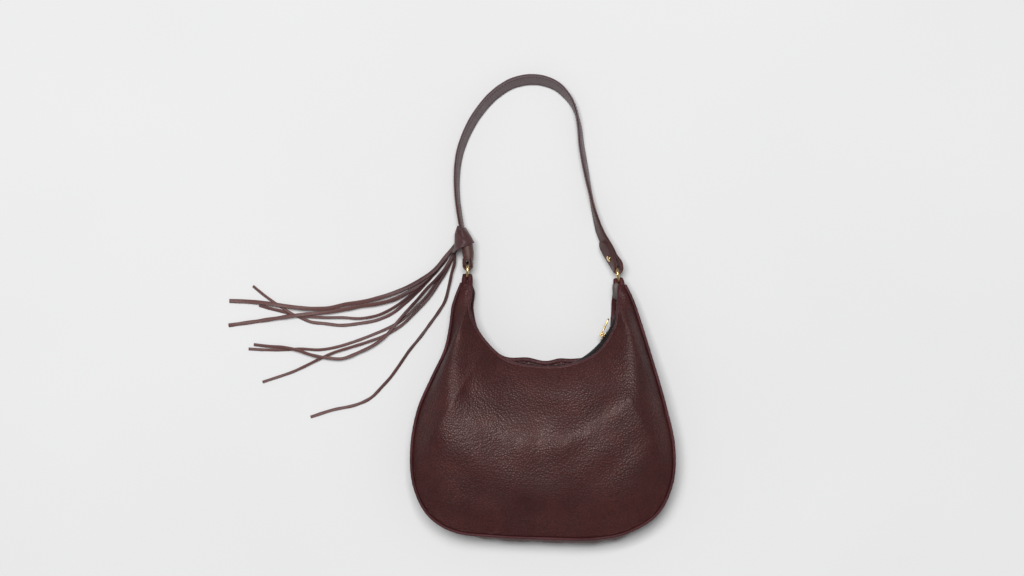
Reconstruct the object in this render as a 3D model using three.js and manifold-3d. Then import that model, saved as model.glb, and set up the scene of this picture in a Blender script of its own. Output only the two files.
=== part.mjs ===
// Soft leather hobo bag lying on its back: crescent body with a curved zip mouth, shoulder
// strap on two rings, and a tassel tied round the strap. Millimetres, +Z up.
// Origin on the floor under the flat of the back panel; +Y runs from the bag's base to the strap.
import * as THREE from 'three';
import { mergeVertices } from 'three/addons/utils/BufferGeometryUtils.js';
import Module from 'manifold-3d';

const wasm = await Module();
wasm.setup();

// ---- driving dimensions ----
const GAP = 0.3;              // clearance kept between touching pieces
const MID_Z = 22;             // height of the zip's middle plane and of the ring centres
const LEATHER = 2;            // body leather thickness
const SEAM_TOP_Z = 46;        // front seam height along the base
const SEAM_LOW_Z = 10;        // back seam height along the base
const BULGE = 29;             // how far the front panel domes above its seam
const HORN_HALF = 7;          // half the seam spacing at the horn tips
const MOUTH_HALF = 17;        // half the mouth's height at mid-bag
const HORN_MOUTH_HALF = 8.5;  // half the mouth's height at the horn tips
const PIPE_RADIUS = 1.8;
const PIPE_INSET = 2.1;       // piping centre inside the outer outline
const PANEL_INSET = 4.9;      // panel edge inside the outer outline
const BINDING_WIDTH = 4.5;
const BINDING_THICK = 3.2;
const NECK_CENTRE = [2, 182]; // the bound edge of the neck is drawn about this point
const ZIP_CENTRE = [-1.2, 179];  // the zip is an arc about this one, deeper in the bag at the left
const ZIP_RADIUS = 87.8;
const ZIP_START = -168;       // degrees, left end of the zip
const ZIP_END = -12;          // degrees, right end of the zip
const ZIP_GAP_HALF = 2.5;     // half the space between the two rows of teeth
const TOOTH_WIDTH = 2.4;
const SLIDER_ANGLE = -35;     // where the slider is parked
const PULL_ANGLE = 66;        // degrees, direction of the pull in plan
const RING_RADIUS = 9.5;      // ring wire's centreline
const WIRE_RADIUS = 1.4;
const RING_LEFT = [-86, 204.5];
const RING_RIGHT = [85, 199.8];
const RING_RIGHT_TILT = 10;   // degrees the right ring is turned about the vertical
const STRAP_WIDTH = 18;
const STRAP_THICK = 3.5;      // both layers and their gap
const LOOP_WIDTH = 8.4;       // width of the leather where it passes through a ring
const STRAND_RADIUS = 1.1;

const LEATHER_COLOUR = 0x4a2a2a;
const STRAP_COLOUR = 0x5a3c40;
const TAPE_COLOUR = 0x241a1c;
const COIL_COLOUR = 0x1c1416;
const COIL_ROUGHNESS = 0.45;
const LINING_COLOUR = 0xb49a80;
const GOLD = 0xd8b060;

// ---- small helpers ----
const rad = THREE.MathUtils.degToRad;
const mix = THREE.MathUtils.lerp;
const ramp = (lo, hi, x) => THREE.MathUtils.smoothstep(x, lo, hi);
const steps = (n) => Array.from({ length: n + 1 }, (_, i) => i / n);
const vec = (x, y, z = 0) => new THREE.Vector3(x, y, z);

// Closed solid through rings of points; each ring is a thin band whose two sides pair up.
function loft(rings) {
  const count = rings[0].length;
  const position = rings.flat().flatMap((p) => [p.x, p.y, p.z]);
  const index = [];
  for (let r = 0; r + 1 < rings.length; r++) {
    for (let k = 0; k < count; k++) {
      const a = r * count + k;
      const b = r * count + ((k + 1) % count);
      index.push(a, b, b + count, a, b + count, a + count);
    }
  }
  const last = (rings.length - 1) * count;
  for (let k = 0; k + 1 < count / 2; k++) {
    const [a, b, c, d] = [k, k + 1, count - 2 - k, count - 1 - k];
    index.push(a, c, b, a, d, c);
    index.push(last + a, last + b, last + c, last + a, last + c, last + d);
  }
  const geometry = new THREE.BufferGeometry();
  geometry.setAttribute('position', new THREE.Float32BufferAttribute(position, 3));
  geometry.setIndex(index);
  return outward(geometry);
}

function outward(geometry) {
  const p = geometry.attributes.position;
  const index = geometry.index.array;
  const corner = (i) => vec(p.getX(index[i]), p.getY(index[i]), p.getZ(index[i]));
  let volume = 0;
  for (let i = 0; i < index.length; i += 3) {
    volume += corner(i).dot(corner(i + 1).cross(corner(i + 2)));
  }
  if (volume < 0) {
    for (let i = 0; i < index.length; i += 3) {
      [index[i + 1], index[i + 2]] = [index[i + 2], index[i + 1]];
    }
  }
  return geometry;
}

function toManifold(geometry) {
  const bare = geometry.clone();
  bare.deleteAttribute('normal');
  bare.deleteAttribute('uv');
  const merged = mergeVertices(bare, 1e-4);
  return new wasm.Manifold(new wasm.Mesh({
    numProp: 3,
    vertProperties: new Float32Array(merged.attributes.position.array),
    triVerts: new Uint32Array(merged.index.array),
  }));
}

function toGeometry(solid) {
  const { vertProperties, triVerts } = solid.getMesh();
  const geometry = new THREE.BufferGeometry();
  geometry.setAttribute('position', new THREE.BufferAttribute(vertProperties, 3));
  geometry.setIndex(new THREE.BufferAttribute(triVerts, 1));
  return geometry;
}

function cut(geometry, tools) {
  let solid = toManifold(geometry);
  for (const tool of tools) solid = solid.subtract(toManifold(tool));
  return toGeometry(solid);
}

function join(geometries) {
  const [first, ...rest] = geometries.map(toManifold);
  return toGeometry(rest.reduce((sum, next) => sum.add(next), first));
}

function polygon(radius, sides) {
  const corners = steps(sides).slice(0, -1).map((t) => t * 2 * Math.PI);
  return new THREE.Shape(corners.map((t) => new THREE.Vector2(
    radius * Math.cos(t), radius * Math.sin(t))));
}

function tube(curve, radius, segments, sides) {
  return new THREE.ExtrudeGeometry(polygon(radius, sides),
    { steps: segments, bevelEnabled: false, extrudePath: curve });
}

const bag = new THREE.Group();

function add(name, geometry, colour, roughness, metalness = 0) {
  const material = new THREE.MeshStandardMaterial({ color: colour, roughness, metalness });
  const mesh = new THREE.Mesh(geometry, material);
  mesh.name = name;
  bag.add(mesh);
}
const addLeather = (name, geometry) => add(name, geometry, LEATHER_COLOUR, 0.5);
const addStrap = (name, geometry) => add(name, geometry, STRAP_COLOUR, 0.55);
const addMetal = (name, geometry) => add(name, geometry, GOLD, 0.25, 1);
const addLining = (name, geometry) => add(name, geometry, LINING_COLOUR, 0.9);

// ---- the body's outlines ----
// Outer outline from the left horn tip, round the base, to the right horn tip.
const FULL_WIDTH = 165;       // width of the body from base to neck where it domes fully
const OUTLINE = new THREE.CatmullRomCurve3([
  [-95, 191.5], [-104, 165], [-107.5, 140], [-113, 115], [-128, 83], [-143, 48], [-151, 4],
  [-148, -40], [-131, -74], [-102, -92.5], [-55, -98.5], [0, -101], [58, -101.5], [96, -94],
  [131, -72], [148, -36], [150, 5], [140, 52], [123, 111], [105, 168], [95.5, 189.5],
].map(([x, y]) => vec(x, y)), false, 'centripetal');
OUTLINE.arcLengthDivisions = 800;

// Neck outline, as a distance from the neck's centre, over the angles between the horn tips.
const neckAngle = (u) => mix(-186.5, 3.4, u);
function neckRadius(angle) {
  const horns = 5.2 * (ramp(-162, -180, angle) + ramp(-28, -8, angle));
  return 87.8 + 3 * Math.exp(-(((angle + 47) / 15) ** 2)) - horns;
}
function onArc([x, y], radius, angle) {
  return vec(x + radius * Math.cos(rad(angle)), y + radius * Math.sin(rad(angle)));
}
const neckPoint = (u, out = 0) => onArc(NECK_CENTRE, neckRadius(neckAngle(u)) + out, neckAngle(u));

function outlinePoint(u, inset = 0) {
  const tangent = OUTLINE.getTangentAt(u);
  const point = OUTLINE.getPointAt(u);
  return point.add(vec(-tangent.y, tangent.x).multiplyScalar(inset));
}

// How much a place along the body is belly (1) rather than horn (0).
const bodyWidth = (u) => outlinePoint(u).distanceTo(neckPoint(u));
const belly = (u) => ramp(14, 95, bodyWidth(u));
const seamTop = (u) => mix(MID_Z + HORN_HALF, SEAM_TOP_Z, belly(u));
const seamLow = (u) => mix(MID_Z - HORN_HALF, SEAM_LOW_Z, belly(u));
const mouthHalf = (u) => mix(HORN_MOUTH_HALF, MOUTH_HALF, ramp(16, 70, bodyWidth(u)));

// ---- panels: thin shells from the piped seam (v = 0) to the bound neck (v = 1) ----
function panelPoint(u, v, inset = 0) {
  const outer = outlinePoint(u, PANEL_INSET + inset);
  return outer.lerp(neckPoint(u, BINDING_WIDTH + GAP + inset * 0.3), v);
}

function frontZ(u, v) {
  const base = mix(seamTop(u) + 1, MID_Z + mouthHalf(u) + 1, v);
  const dome = Math.sin(Math.PI * v ** 0.85) ** 0.75;
  return base + BULGE * Math.min(1, bodyWidth(u) / FULL_WIDTH) ** 1.3 * dome;
}

function backZ(u, v) {
  const flat = mix(MID_Z - HORN_HALF - 1, 0, ramp(20, 80, bodyWidth(u)));
  const atSeam = (seamLow(u) - 1 - flat) * (1 - ramp(0, 0.14, v));
  const atNeck = (MID_Z - mouthHalf(u) - 1 - flat) * ramp(0.84, 1, v);
  return flat + atSeam + atNeck;
}

function shell(height, thickness, columns, rows, inset = 0, from = 0, to = 1) {
  return loft(steps(columns).map((t) => {
    const u = mix(from, to, t);
    const across = steps(rows);
    const at = (v, drop) => panelPoint(u, v, inset).setZ(height(u, v) + drop);
    const face = across.map((v) => at(v, 0));
    const back = across.map((v) => at(v, thickness)).reverse();
    return [...face, ...back];
  }));
}

addLeather('front_panel', shell(frontZ, -LEATHER, 36, 8));
addLeather('back_panel', shell(backZ, LEATHER, 36, 8));

// ---- gusset: two halves joined under the base, bowed out between the two piped seams ----
const GUSSET_BOW = 2.2;       // how far its middle stands out past its seams
const BASE_SEAM_GAP = 0.0005; // share of the outline left open between the two halves
function gussetRing(u) {
  const low = seamLow(u) + PIPE_RADIUS + 0.5;
  const high = seamTop(u) - PIPE_RADIUS - 0.5;
  const bow = (s, depth) => outlinePoint(u, depth + GUSSET_BOW * (1 - Math.sin(Math.PI * s)))
    .setZ(mix(low, high, s));
  const across = steps(4);
  return [...across.map((s) => bow(s, 0)), ...across.map((s) => bow(s, LEATHER)).reverse()];
}
for (const [side, from, to] of [['left', 0, 0.5 - BASE_SEAM_GAP], ['right', 0.5 + BASE_SEAM_GAP, 1]]) {
  addLeather(`gusset_${side}`, loft(steps(22).map((t) => gussetRing(mix(from, to, t)))));
}

// ---- piping along both seams ----
class SeamCurve extends THREE.Curve {
  constructor(height) {
    super();
    this.height = height;
  }
  getPoint(t) {
    const u = mix(0.002, 0.998, t);
    return outlinePoint(u, PIPE_INSET).setZ(this.height(u));
  }
}
addLeather('front_piping', tube(new SeamCurve(seamTop), PIPE_RADIUS, 44, 8));
addLeather('back_piping', tube(new SeamCurve(seamLow), PIPE_RADIUS, 44, 8));

// ---- bound neck edges ----
function bindingRing(u, side) {
  const z = MID_Z + side * mouthHalf(u);
  const inner = neckPoint(u);
  const outer = neckPoint(u, BINDING_WIDTH);
  const half = BINDING_THICK / 2;
  return [[inner, half], [outer, half], [outer, -half], [inner, -half]]
    .map(([p, dz]) => p.clone().setZ(z + dz));
}

// ---- zip: two tapes, two rows of teeth, stops ----
const rowOuter = ZIP_GAP_HALF + TOOTH_WIDTH;
const TOOTH_HALF = 1.4;       // half a tooth's depth, measured across the tape
const TAPE_HALF = 0.4;
const onZip = (out, angle) => onArc(ZIP_CENTRE, ZIP_RADIUS + out, angle);
const zipAngles = (n) => steps(n).map((t) => mix(ZIP_START, ZIP_END, t));

// The place along the neck that faces a point of the zip.
function neckShare({ x, y }) {
  const degrees = THREE.MathUtils.radToDeg(Math.atan2(y - NECK_CENTRE[1], x - NECK_CENTRE[0]));
  const angle = degrees > 90 ? degrees - 360 : degrees;
  return (angle - neckAngle(0)) / (neckAngle(1) - neckAngle(0));
}

function tapeRing(angle, side) {
  const rowEdge = onZip(0, angle);
  const u = neckShare(rowEdge);
  const hem = neckPoint(u, 1.2);
  const hemZ = mouthHalf(u) - BINDING_THICK / 2 - 2 * GAP;
  const rowZ = rowOuter + GAP;
  const outward = onZip(TAPE_HALF, angle).sub(rowEdge);
  const tilt = side * TAPE_HALF * 0.4;
  const at = (p, z, way) => p.clone().addScaledVector(outward, way).setZ(MID_Z + side * z - way * tilt);
  return [at(rowEdge, rowZ, 1), at(hem, hemZ, 1), at(hem, hemZ, -1), at(rowEdge, rowZ, -1)];
}

function teethRing(angle, side) {
  const [near, far] = [ZIP_GAP_HALF, rowOuter];
  return [[-TOOTH_HALF, near], [TOOTH_HALF, near], [TOOTH_HALF, far], [-TOOTH_HALF, far]]
    .map(([out, z]) => onZip(out, angle).setZ(MID_Z + side * z));
}

for (const [face, side] of [['front', 1], ['back', -1]]) {
  addLeather(`${face}_neck_binding`, loft(steps(36).map((u) => bindingRing(u, side))));
  add(`zip_tape_${face}`, loft(zipAngles(30).map((a) => tapeRing(a, side))), TAPE_COLOUR, 0.8);
  add(`zip_teeth_${face}`, loft(zipAngles(32).map((a) => teethRing(a, side))), COIL_COLOUR, COIL_ROUGHNESS);
  const stop = [0.4, 1.6].map((da) => teethRing(ZIP_START - da, side));
  add(`zip_top_stop_${face}`, loft(stop), COIL_COLOUR, COIL_ROUGHNESS);
}

// The bottom stop ties both rows together at the right-hand end.
add('zip_bottom_stop', loft([0.4, 2.6].map((da) => {
  const corners = [[-1.6, rowOuter], [1.6, rowOuter], [1.6, -rowOuter], [-1.6, -rowOuter]];
  return corners.map(([out, z]) => onZip(out, ZIP_END + da).setZ(MID_Z + z));
})), COIL_COLOUR, COIL_ROUGHNESS);

// Leather tabs that close the mouth beyond each end of the zip.
function endTab(from, to, inward) {
  return loft(steps(5).map((t) => {
    const angle = mix(from, to, t);
    const half = mix(6.2, 4.6, t);
    return [[-inward, half], [0.6, half], [0.6, -half], [-inward, -half]]
      .map(([out, z]) => onZip(out, angle).setZ(MID_Z + z));
  }));
}
addLeather('zip_end_tab_left', endTab(-170.5, -181, 2.6));
addLeather('zip_end_tab_right', endTab(-8.6, 1.5, 5));

// ---- slider and pull ----
// In the slider's own frame +X runs along the zip, +Y points out of the bag, +Z across the rows.
const SLIDER_LENGTH = 12;
const PLATE_THICK = 1.1;
const PLATE_CLEAR = 1.7;      // from the zip's centre line to each plate
const POST_WIDTH = 2.8;       // the bridge between the plates, which runs between the two rows
const PIN_RISE = 2.3;         // pull pin above the top plate
const PIN_RADIUS = 0.7;
const LUG_OFFSET = 2.6;       // from the middle to each lug that holds the pin
const pinHeight = PLATE_CLEAR + PLATE_THICK + PIN_RISE;

function slab(x, y, z, at) {
  const geometry = new THREE.BoxGeometry(x, y, z);
  return geometry.translate(...at);
}

function sliderSolid() {
  const plateY = PLATE_CLEAR + PLATE_THICK / 2;
  const width = 2 * rowOuter + 2.2;
  const lugHeight = PIN_RISE + 2 * PIN_RADIUS;
  const lugMiddle = PLATE_CLEAR + PLATE_THICK + PIN_RISE / 2;
  const lug = (side) => slab(3, lugHeight, 1, [0, lugMiddle, side * LUG_OFFSET]);
  const pin = new THREE.CylinderGeometry(PIN_RADIUS, PIN_RADIUS, 2 * LUG_OFFSET, 10)
    .rotateX(Math.PI / 2).translate(0, pinHeight, 0);
  return join([
    slab(SLIDER_LENGTH, PLATE_THICK, width, [0, plateY, 0]),
    slab(SLIDER_LENGTH, PLATE_THICK, 2 * rowOuter, [0, -plateY, 0]),
    slab(5, 2 * PLATE_CLEAR + 1, POST_WIDTH, [0, 0, 0]),
    lug(1), lug(-1), pin,
  ]);
}

// The pull lies along +X from its pin: a narrow eye, then a wider flat blade.
const PULL_LENGTH = 20;
const PULL_THICK = 1.2;
const EYE_RADIUS = 1.9;
const EYE_WIDTH = 3;
const BLADE_WIDTH = 6;
const BLADE_START = 4;
function pullSolid() {
  const half = PULL_THICK / 2;
  const neck = new THREE.Shape();
  neck.absarc(0, 0, EYE_RADIUS, Math.PI / 2 + 0.35, 1.5 * Math.PI - 0.35, false);
  for (const [x, y] of [[5, -half], [PULL_LENGTH, -half], [PULL_LENGTH, half], [5, half]]) neck.lineTo(x, y);
  const eye = new THREE.ExtrudeGeometry(neck, { depth: EYE_WIDTH, bevelEnabled: false, curveSegments: 6 })
    .translate(0, 0, -EYE_WIDTH / 2);
  const bladeLength = PULL_LENGTH - BLADE_START;
  const blade = slab(bladeLength, PULL_THICK, BLADE_WIDTH, [BLADE_START + bladeLength / 2, 0, 0]);
  const bore = new THREE.CylinderGeometry(PIN_RADIUS + 0.35, PIN_RADIUS + 0.35, 8, 10).rotateX(Math.PI / 2);
  return cut(join([eye, blade]), [bore]);
}

const sliderPlace = onZip(0, SLIDER_ANGLE).setZ(MID_Z);
const sliderFrame = new THREE.Matrix4().makeRotationZ(rad(SLIDER_ANGLE + 90)).setPosition(sliderPlace);
const pinPlace = vec(0, pinHeight).applyMatrix4(sliderFrame);
const pullFrame = new THREE.Matrix4().makeRotationZ(rad(PULL_ANGLE)).setPosition(pinPlace);
addMetal('zip_slider', sliderSolid().applyMatrix4(sliderFrame));
addMetal('zip_pull', pullSolid().applyMatrix4(pullFrame));

// ---- lining and slip pocket ----
const LINING_INSET = 9;
const LINING_THICK = 0.8;
const LINING_DROP = LEATHER + LINING_THICK;
const liningShell = (height, thickness) => shell(height, thickness, 22, 5, LINING_INSET, 0.14, 0.86);
addLining('lining_front', liningShell((u, v) => frontZ(u, v) - LINING_DROP, -LINING_THICK));
addLining('lining_back', liningShell((u, v) => backZ(u, v) + LINING_DROP, LINING_THICK));

// The pocket is a patch sewn to the back lining on three sides and open towards the mouth.
const POCKET = { halfWidth: 62, low: -50, high: 45, base: 4.2, deep: 10.6, cloth: 1 };
function pocketSolid() {
  const { halfWidth, low, high, base, deep, cloth } = POCKET;
  const patch = new THREE.BoxGeometry(2 * halfWidth, high - low, deep - base)
    .translate(0, (high + low) / 2, (deep + base) / 2);
  const space = new THREE.BoxGeometry(2 * (halfWidth - 1.5), high - low, deep - cloth - base + 1)
    .translate(0, (high + low) / 2 + 1.5, (deep - cloth + base - 1) / 2);
  return cut(patch, [space]);
}
addLining('slip_pocket', pocketSolid());

// ---- rings ----
const axisAngle = Math.atan2(RING_RIGHT[1] - RING_LEFT[1], RING_RIGHT[0] - RING_LEFT[0]);
function ringSolid() {
  return new THREE.TorusGeometry(RING_RADIUS, WIRE_RADIUS, 10, 32).rotateY(Math.PI / 2);
}
const atRing = (geometry, [x, y], turn) => geometry.rotateZ(turn).translate(x, y, MID_Z);
const rightTurn = axisAngle + rad(RING_RIGHT_TILT);
addMetal('ring_left', atRing(ringSolid(), RING_LEFT, axisAngle));
addMetal('ring_right', atRing(ringSolid(), RING_RIGHT, rightTurn));

// ---- leather loops that hold the rings at the horn tips ----
function hornLoop() {
  const [inner, outer] = [2, 3.7];   // radii of the fold round the wire
  const [rise, legs] = [1.2, 3.1];   // straight lengths above and below the wire
  const band = new THREE.Shape();
  band.moveTo(outer, -legs);
  band.lineTo(outer, rise);
  band.absarc(0, rise, outer, 0, Math.PI, false);
  band.lineTo(-outer, -legs);
  band.lineTo(-inner, -legs);
  band.lineTo(-inner, rise);
  band.absarc(0, rise, inner, Math.PI, 0, true);
  band.lineTo(inner, -legs);
  return new THREE.ExtrudeGeometry(band, { depth: LOOP_WIDTH, bevelEnabled: false, curveSegments: 8 })
    .translate(0, 0, -LOOP_WIDTH / 2).translate(0, -RING_RADIUS, 0);
}
addLeather('horn_loop_left', atRing(hornLoop(), RING_LEFT, axisAngle));
addLeather('horn_loop_right', atRing(hornLoop(), RING_RIGHT, rightTurn));

// ---- strap ----
// Spine from the left ring's centre to the right ring's centre: plan position and lean (degrees).
// The strap stands nearly on edge; a positive lean tips its upper edge away from the loop's middle.
const STRAP_SPINE = [
  [-84.9, 204.4, 1], [-88, 230, 4], [-93.5, 258, 8], [-98, 290, 8], [-98, 320, 10], [-94, 343, 14],
  [-85, 366, 20], [-73, 386, 25], [-55, 406, 29], [-33, 419.5, 31], [-8, 423, 31], [14, 416.5, 26],
  [29, 402.5, 15], [37, 388, 2], [41.5, 370, -7], [44, 348, -12], [48.5, 322, -12], [53.5, 296, -4],
  [58.5, 272, 6], [66, 247, 16], [76, 227.5, 20], [83, 213.5, 10], [86.9, 200.3, 0],
];
const spinePoints = STRAP_SPINE.map(([x, y]) => vec(x, y));
const leanPoints = STRAP_SPINE.map(([, , lean], i) => vec(i, lean));
const spineCurve = new THREE.CatmullRomCurve3(spinePoints, false, 'centripetal');
spineCurve.arcLengthDivisions = 600;
const leanCurve = new THREE.CatmullRomCurve3(leanPoints, false, 'catmullrom');
const SPINE_LENGTH = spineCurve.getLength();

// Frame at a distance along the spine, moved sideways; the lean is also the band's roll.
function strapFrame(distance, lateral) {
  const u = THREE.MathUtils.clamp(distance / SPINE_LENGTH, 0, 1);
  const tangent = spineCurve.getTangentAt(u);
  const point = spineCurve.getPointAt(u).addScaledVector(tangent, distance - u * SPINE_LENGTH);
  const lean = rad(leanCurve.getPoint(spineCurve.getUtoTmapping(u)).y);
  const side = vec(-tangent.y, tangent.x);
  const across = side.clone().multiplyScalar(Math.sin(lean)).setZ(Math.cos(lean));
  const out = side.clone().multiplyScalar(Math.cos(lean)).setZ(-Math.sin(lean));
  const fromEnd = Math.min(distance, SPINE_LENGTH - distance);
  const resting = (STRAP_WIDTH / 2) * Math.cos(lean) + (STRAP_THICK / 2) * Math.abs(Math.sin(lean)) + 0.4;
  point.z = mix(MID_Z, resting, ramp(14, 95, fromEnd));
  return { point: point.addScaledVector(out, lateral), across, out };
}

// The band's path: out of one tab, round the ring, along the spine, round the other ring, tab.
// Each entry is distance from the ring's centre, and sideways offset, outward positive.
const FOLD_CENTRE = 6.6;
const FOLD_RADIUS = 5;
const TAB_OFFSET = -3.9;
const TAB_LENGTH = 43;
const foldPath = [
  ...[TAB_LENGTH, 34, 26, 19].map((along) => [along, TAB_OFFSET]),
  [13, -4.5],
  ...steps(8).map((t) => {
    const turn = Math.PI * (1 + t);
    return [FOLD_CENTRE + FOLD_RADIUS * Math.sin(turn), FOLD_RADIUS * Math.cos(turn)];
  }),
  [13, 3.8], [17.5, 1.4], [21.5, 0], [28, 0],
];
const RUN_STEP = 12;
const runStart = foldPath.at(-1)[0];
const runCount = Math.round((SPINE_LENGTH - 2 * runStart) / RUN_STEP);
const strapStations = [
  ...foldPath,
  ...steps(runCount).slice(1, -1).map((t) => [mix(runStart, SPINE_LENGTH - runStart, t), 0]),
  ...foldPath.slice().reverse().map(([along, side]) => [SPINE_LENGTH - along, side]),
];

// Half width of the band: narrow where it passes through a ring, round at the tab's end.
function bandHalf(path, station) {
  const along = Math.min(station, path.length - 1 - station);
  const isFold = along >= 4 && along <= 14;
  const bottom = Math.abs(along - 9);
  const waist = isFold ? mix(LOOP_WIDTH / 2, STRAP_WIDTH / 2 - 0.6, ramp(2.2, 5, bottom)) : STRAP_WIDTH / 2;
  return along === 0 ? waist * 0.45 : waist;
}

function strapBand(low, high) {
  const frames = strapStations.map(([along, side]) => strapFrame(along, side));
  return loft(frames.map((frame, i) => {
    const before = frames[Math.max(0, i - 1)].point;
    const after = frames[Math.min(frames.length - 1, i + 1)].point;
    const normal = after.clone().sub(before).cross(frame.across).normalize();
    const half = bandHalf(strapStations, i);
    return [[low, -half], [low, half], [high, half], [high, -half]].map(([depth, width]) => frame.point.clone()
      .addScaledVector(normal, depth).addScaledVector(frame.across, width));
  }));
}

// Rivets through each tab and the strap beneath it.
const RIVET_AT = 21.5;
function rivet(distance) {
  const profile = [[0, -3.9], [2.8, -3.9], [3.1, -3], [1.2, -3], [1.2, 6.1], [3.6, 6.1], [3, 7.1], [0, 7.5]]
    .map(([r, y]) => new THREE.Vector2(r, y));
  const frame = strapFrame(distance, 0);
  const turn = new THREE.Quaternion().setFromUnitVectors(vec(0, 1), frame.out.clone().negate());
  const solid = new THREE.LatheGeometry(profile, 14).applyQuaternion(turn);
  const bore = new THREE.CylinderGeometry(1.5, 1.5, 24, 12).applyQuaternion(turn);
  return [solid, bore].map((geometry) => geometry.translate(...frame.point));
}
const [rivetLeft, boreLeft] = rivet(RIVET_AT);
const [rivetRight, boreRight] = rivet(SPINE_LENGTH - RIVET_AT);
const layer = (STRAP_THICK - GAP) / 2;
const bands = [strapBand(-GAP / 2, -GAP / 2 - layer), strapBand(GAP / 2, GAP / 2 + layer)];
const [bandA, bandB] = bands.map((band) => cut(band, [boreLeft, boreRight]));
addStrap('strap_outer', bandA);
addStrap('strap_lining', bandB);
addMetal('strap_rivet_left', rivetLeft);
addMetal('strap_rivet_right', rivetRight);

// ---- tassel knot: a leather sleeve tied round the strap and the left tab ----
const KNOT_SECTIONS = [
  // distance up the strap, half width, half height
  [27, 11.6, 12.4], [31, 12.4, 13], [38, 11, 12.8], [45, 8.2, 12], [52, 6.4, 11.4],
];
const KNOT_OFFSET = -1.8;     // its middle lies between the strap and the tab
function knotSolid() {
  const sides = 14;
  const sleeve = loft(KNOT_SECTIONS.map(([along, wide, high]) => {
    const { point, across, out } = strapFrame(along, KNOT_OFFSET);
    return steps(sides).slice(0, -1).map((t) => point.clone()
      .addScaledVector(out, wide * Math.cos(2 * Math.PI * t))
      .addScaledVector(across, high * Math.sin(2 * Math.PI * t)));
  }));
  const slot = loft(steps(12).map((t) => {
    const { point, across, out } = strapFrame(mix(12, 62, t), 0);
    const half = STRAP_WIDTH / 2 + 0.5;
    return [[-6.2, -half], [-6.2, half], [2.4, half], [2.4, -half]].map(([lateral, width]) => point.clone()
      .addScaledVector(out, lateral).addScaledVector(across, width));
  }));
  return cut(sleeve, [slot]);
}
addStrap('tassel_knot', knotSolid());

// ---- fringe: limp leather strands from the knot, lying out to the left on the floor ----
const STRANDS = {
  a: [
    [-103, 230, 10.5], [-113, 218, 10.5], [-124, 205, 10], [-138, 195, 9.5], [-152, 187, 9],
    [-168, 180, 8.6], [-186, 174, 8.6], [-206, 169, 8.6], [-226, 166, 8.6], [-243, 162, 8.6],
    [-260, 161, 8.6], [-277, 162, 8.6], [-294, 164, 7], [-314, 167, 6], [-334, 169, 3], [-359, 170, 1.3],
  ],
  b: [
    [-103, 230, 8], [-114, 215, 7.5], [-127, 202, 7], [-140, 189, 6.5], [-154, 180, 6.2], [-170, 172, 6.2],
    [-188, 167, 6.2], [-209, 164, 6.2], [-229, 160, 6.2], [-249, 157, 6.2], [-268, 155, 6.2],
    [-286, 153, 6.2], [-306, 150, 4.5], [-332, 146, 2], [-360, 142, 1.3],
  ],
  c: [
    [-103, 230, 5.5], [-115, 213, 5], [-129, 198, 4.5], [-142, 185, 4], [-156, 173, 3.8], [-170, 163, 3.8],
    [-188, 154, 3.8], [-209, 150, 3.8], [-229, 151, 3.8], [-249, 151, 3.8], [-268, 152, 3.8],
    [-282, 153, 3.8], [-295, 160, 3.8], [-310, 170, 3.4], [-321, 178, 2], [-332, 187, 1.3],
  ],
  d: [
    [-103, 230, 3], [-116, 211, 2.2], [-130, 195, 1.5], [-144, 180, 1.3], [-157, 168, 1.3],
    [-172, 156, 1.3], [-190, 148, 1.3], [-211, 144, 1.3], [-231, 142, 1.3], [-250, 144, 1.3],
    [-266, 146, 1.3], [-280, 152, 1.3], [-295, 157, 1.3], [-311, 161, 1.3], [-325, 165, 1.3],
  ],
  e: [
    [-101, 225, 8], [-109, 211, 7.5], [-121, 196, 6.8], [-132, 185, 6.4], [-144, 171, 6.2],
    [-156, 158, 6.2], [-168, 144, 6.2], [-179, 131, 6.2], [-193, 120, 6.2], [-211, 111, 6.2],
    [-230, 104, 6.2], [-247, 105, 6.2], [-264, 108, 6.2], [-282, 114, 6], [-298, 117, 4], [-314, 118, 2],
    [-331, 120, 1.3],
  ],
  f: [
    [-101, 225, 3], [-111, 209, 2.4], [-121, 192, 1.8], [-131, 178, 1.3], [-145, 163, 1.3],
    [-160, 149, 1.3], [-177, 139, 1.3], [-193, 132, 1.3], [-214, 124, 1.3], [-237, 117, 1.3],
    [-256, 114, 1.3], [-277, 115, 1.3], [-296, 114, 1.3], [-317, 114, 1.3], [-337, 115, 1.3],
  ],
  g: [
    [-101, 225, 5.5], [-109, 207, 4.8], [-120, 189, 4.2], [-131, 173, 3.8], [-146, 157, 3.8],
    [-162, 142, 3.8], [-180, 131, 3.8], [-201, 123, 3.8], [-220, 117, 3.8], [-239, 111, 3.8],
    [-257, 103, 3.8], [-271, 96, 3], [-286, 89, 2], [-297, 85, 1.5], [-321, 77, 1.3],
  ],
  h: [
    [-101, 225, 10.5], [-101, 214, 8.5], [-104, 203, 6.5], [-107, 189, 4.5], [-112, 170, 2.8],
    [-119, 158, 2], [-129, 144, 1.4], [-140, 129, 1.3], [-153, 113, 1.3], [-164, 97, 1.3], [-174, 83, 1.3],
    [-183, 73, 1.3], [-197, 59, 1.3], [-214, 51, 1.3], [-241, 45, 1.3], [-266, 37, 1.3],
  ],
};
for (const [letter, route] of Object.entries(STRANDS)) {
  const path = new THREE.CatmullRomCurve3(route.map((point) => vec(...point)), false, 'centripetal');
  addStrap(`fringe_strand_${letter}`, tube(path, STRAND_RADIUS, 26, 8));
}

export default bag;
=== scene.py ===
"""Burgundy leather hobo bag lying on its back, seen from above: crescent body with a zipped
mouth, shoulder strap on two gold rings and a tassel of eight laces tied round the strap.

Shapes are worked out in millimetres in the CAD frame and turned into metres by make_mesh.
"""
import math

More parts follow.
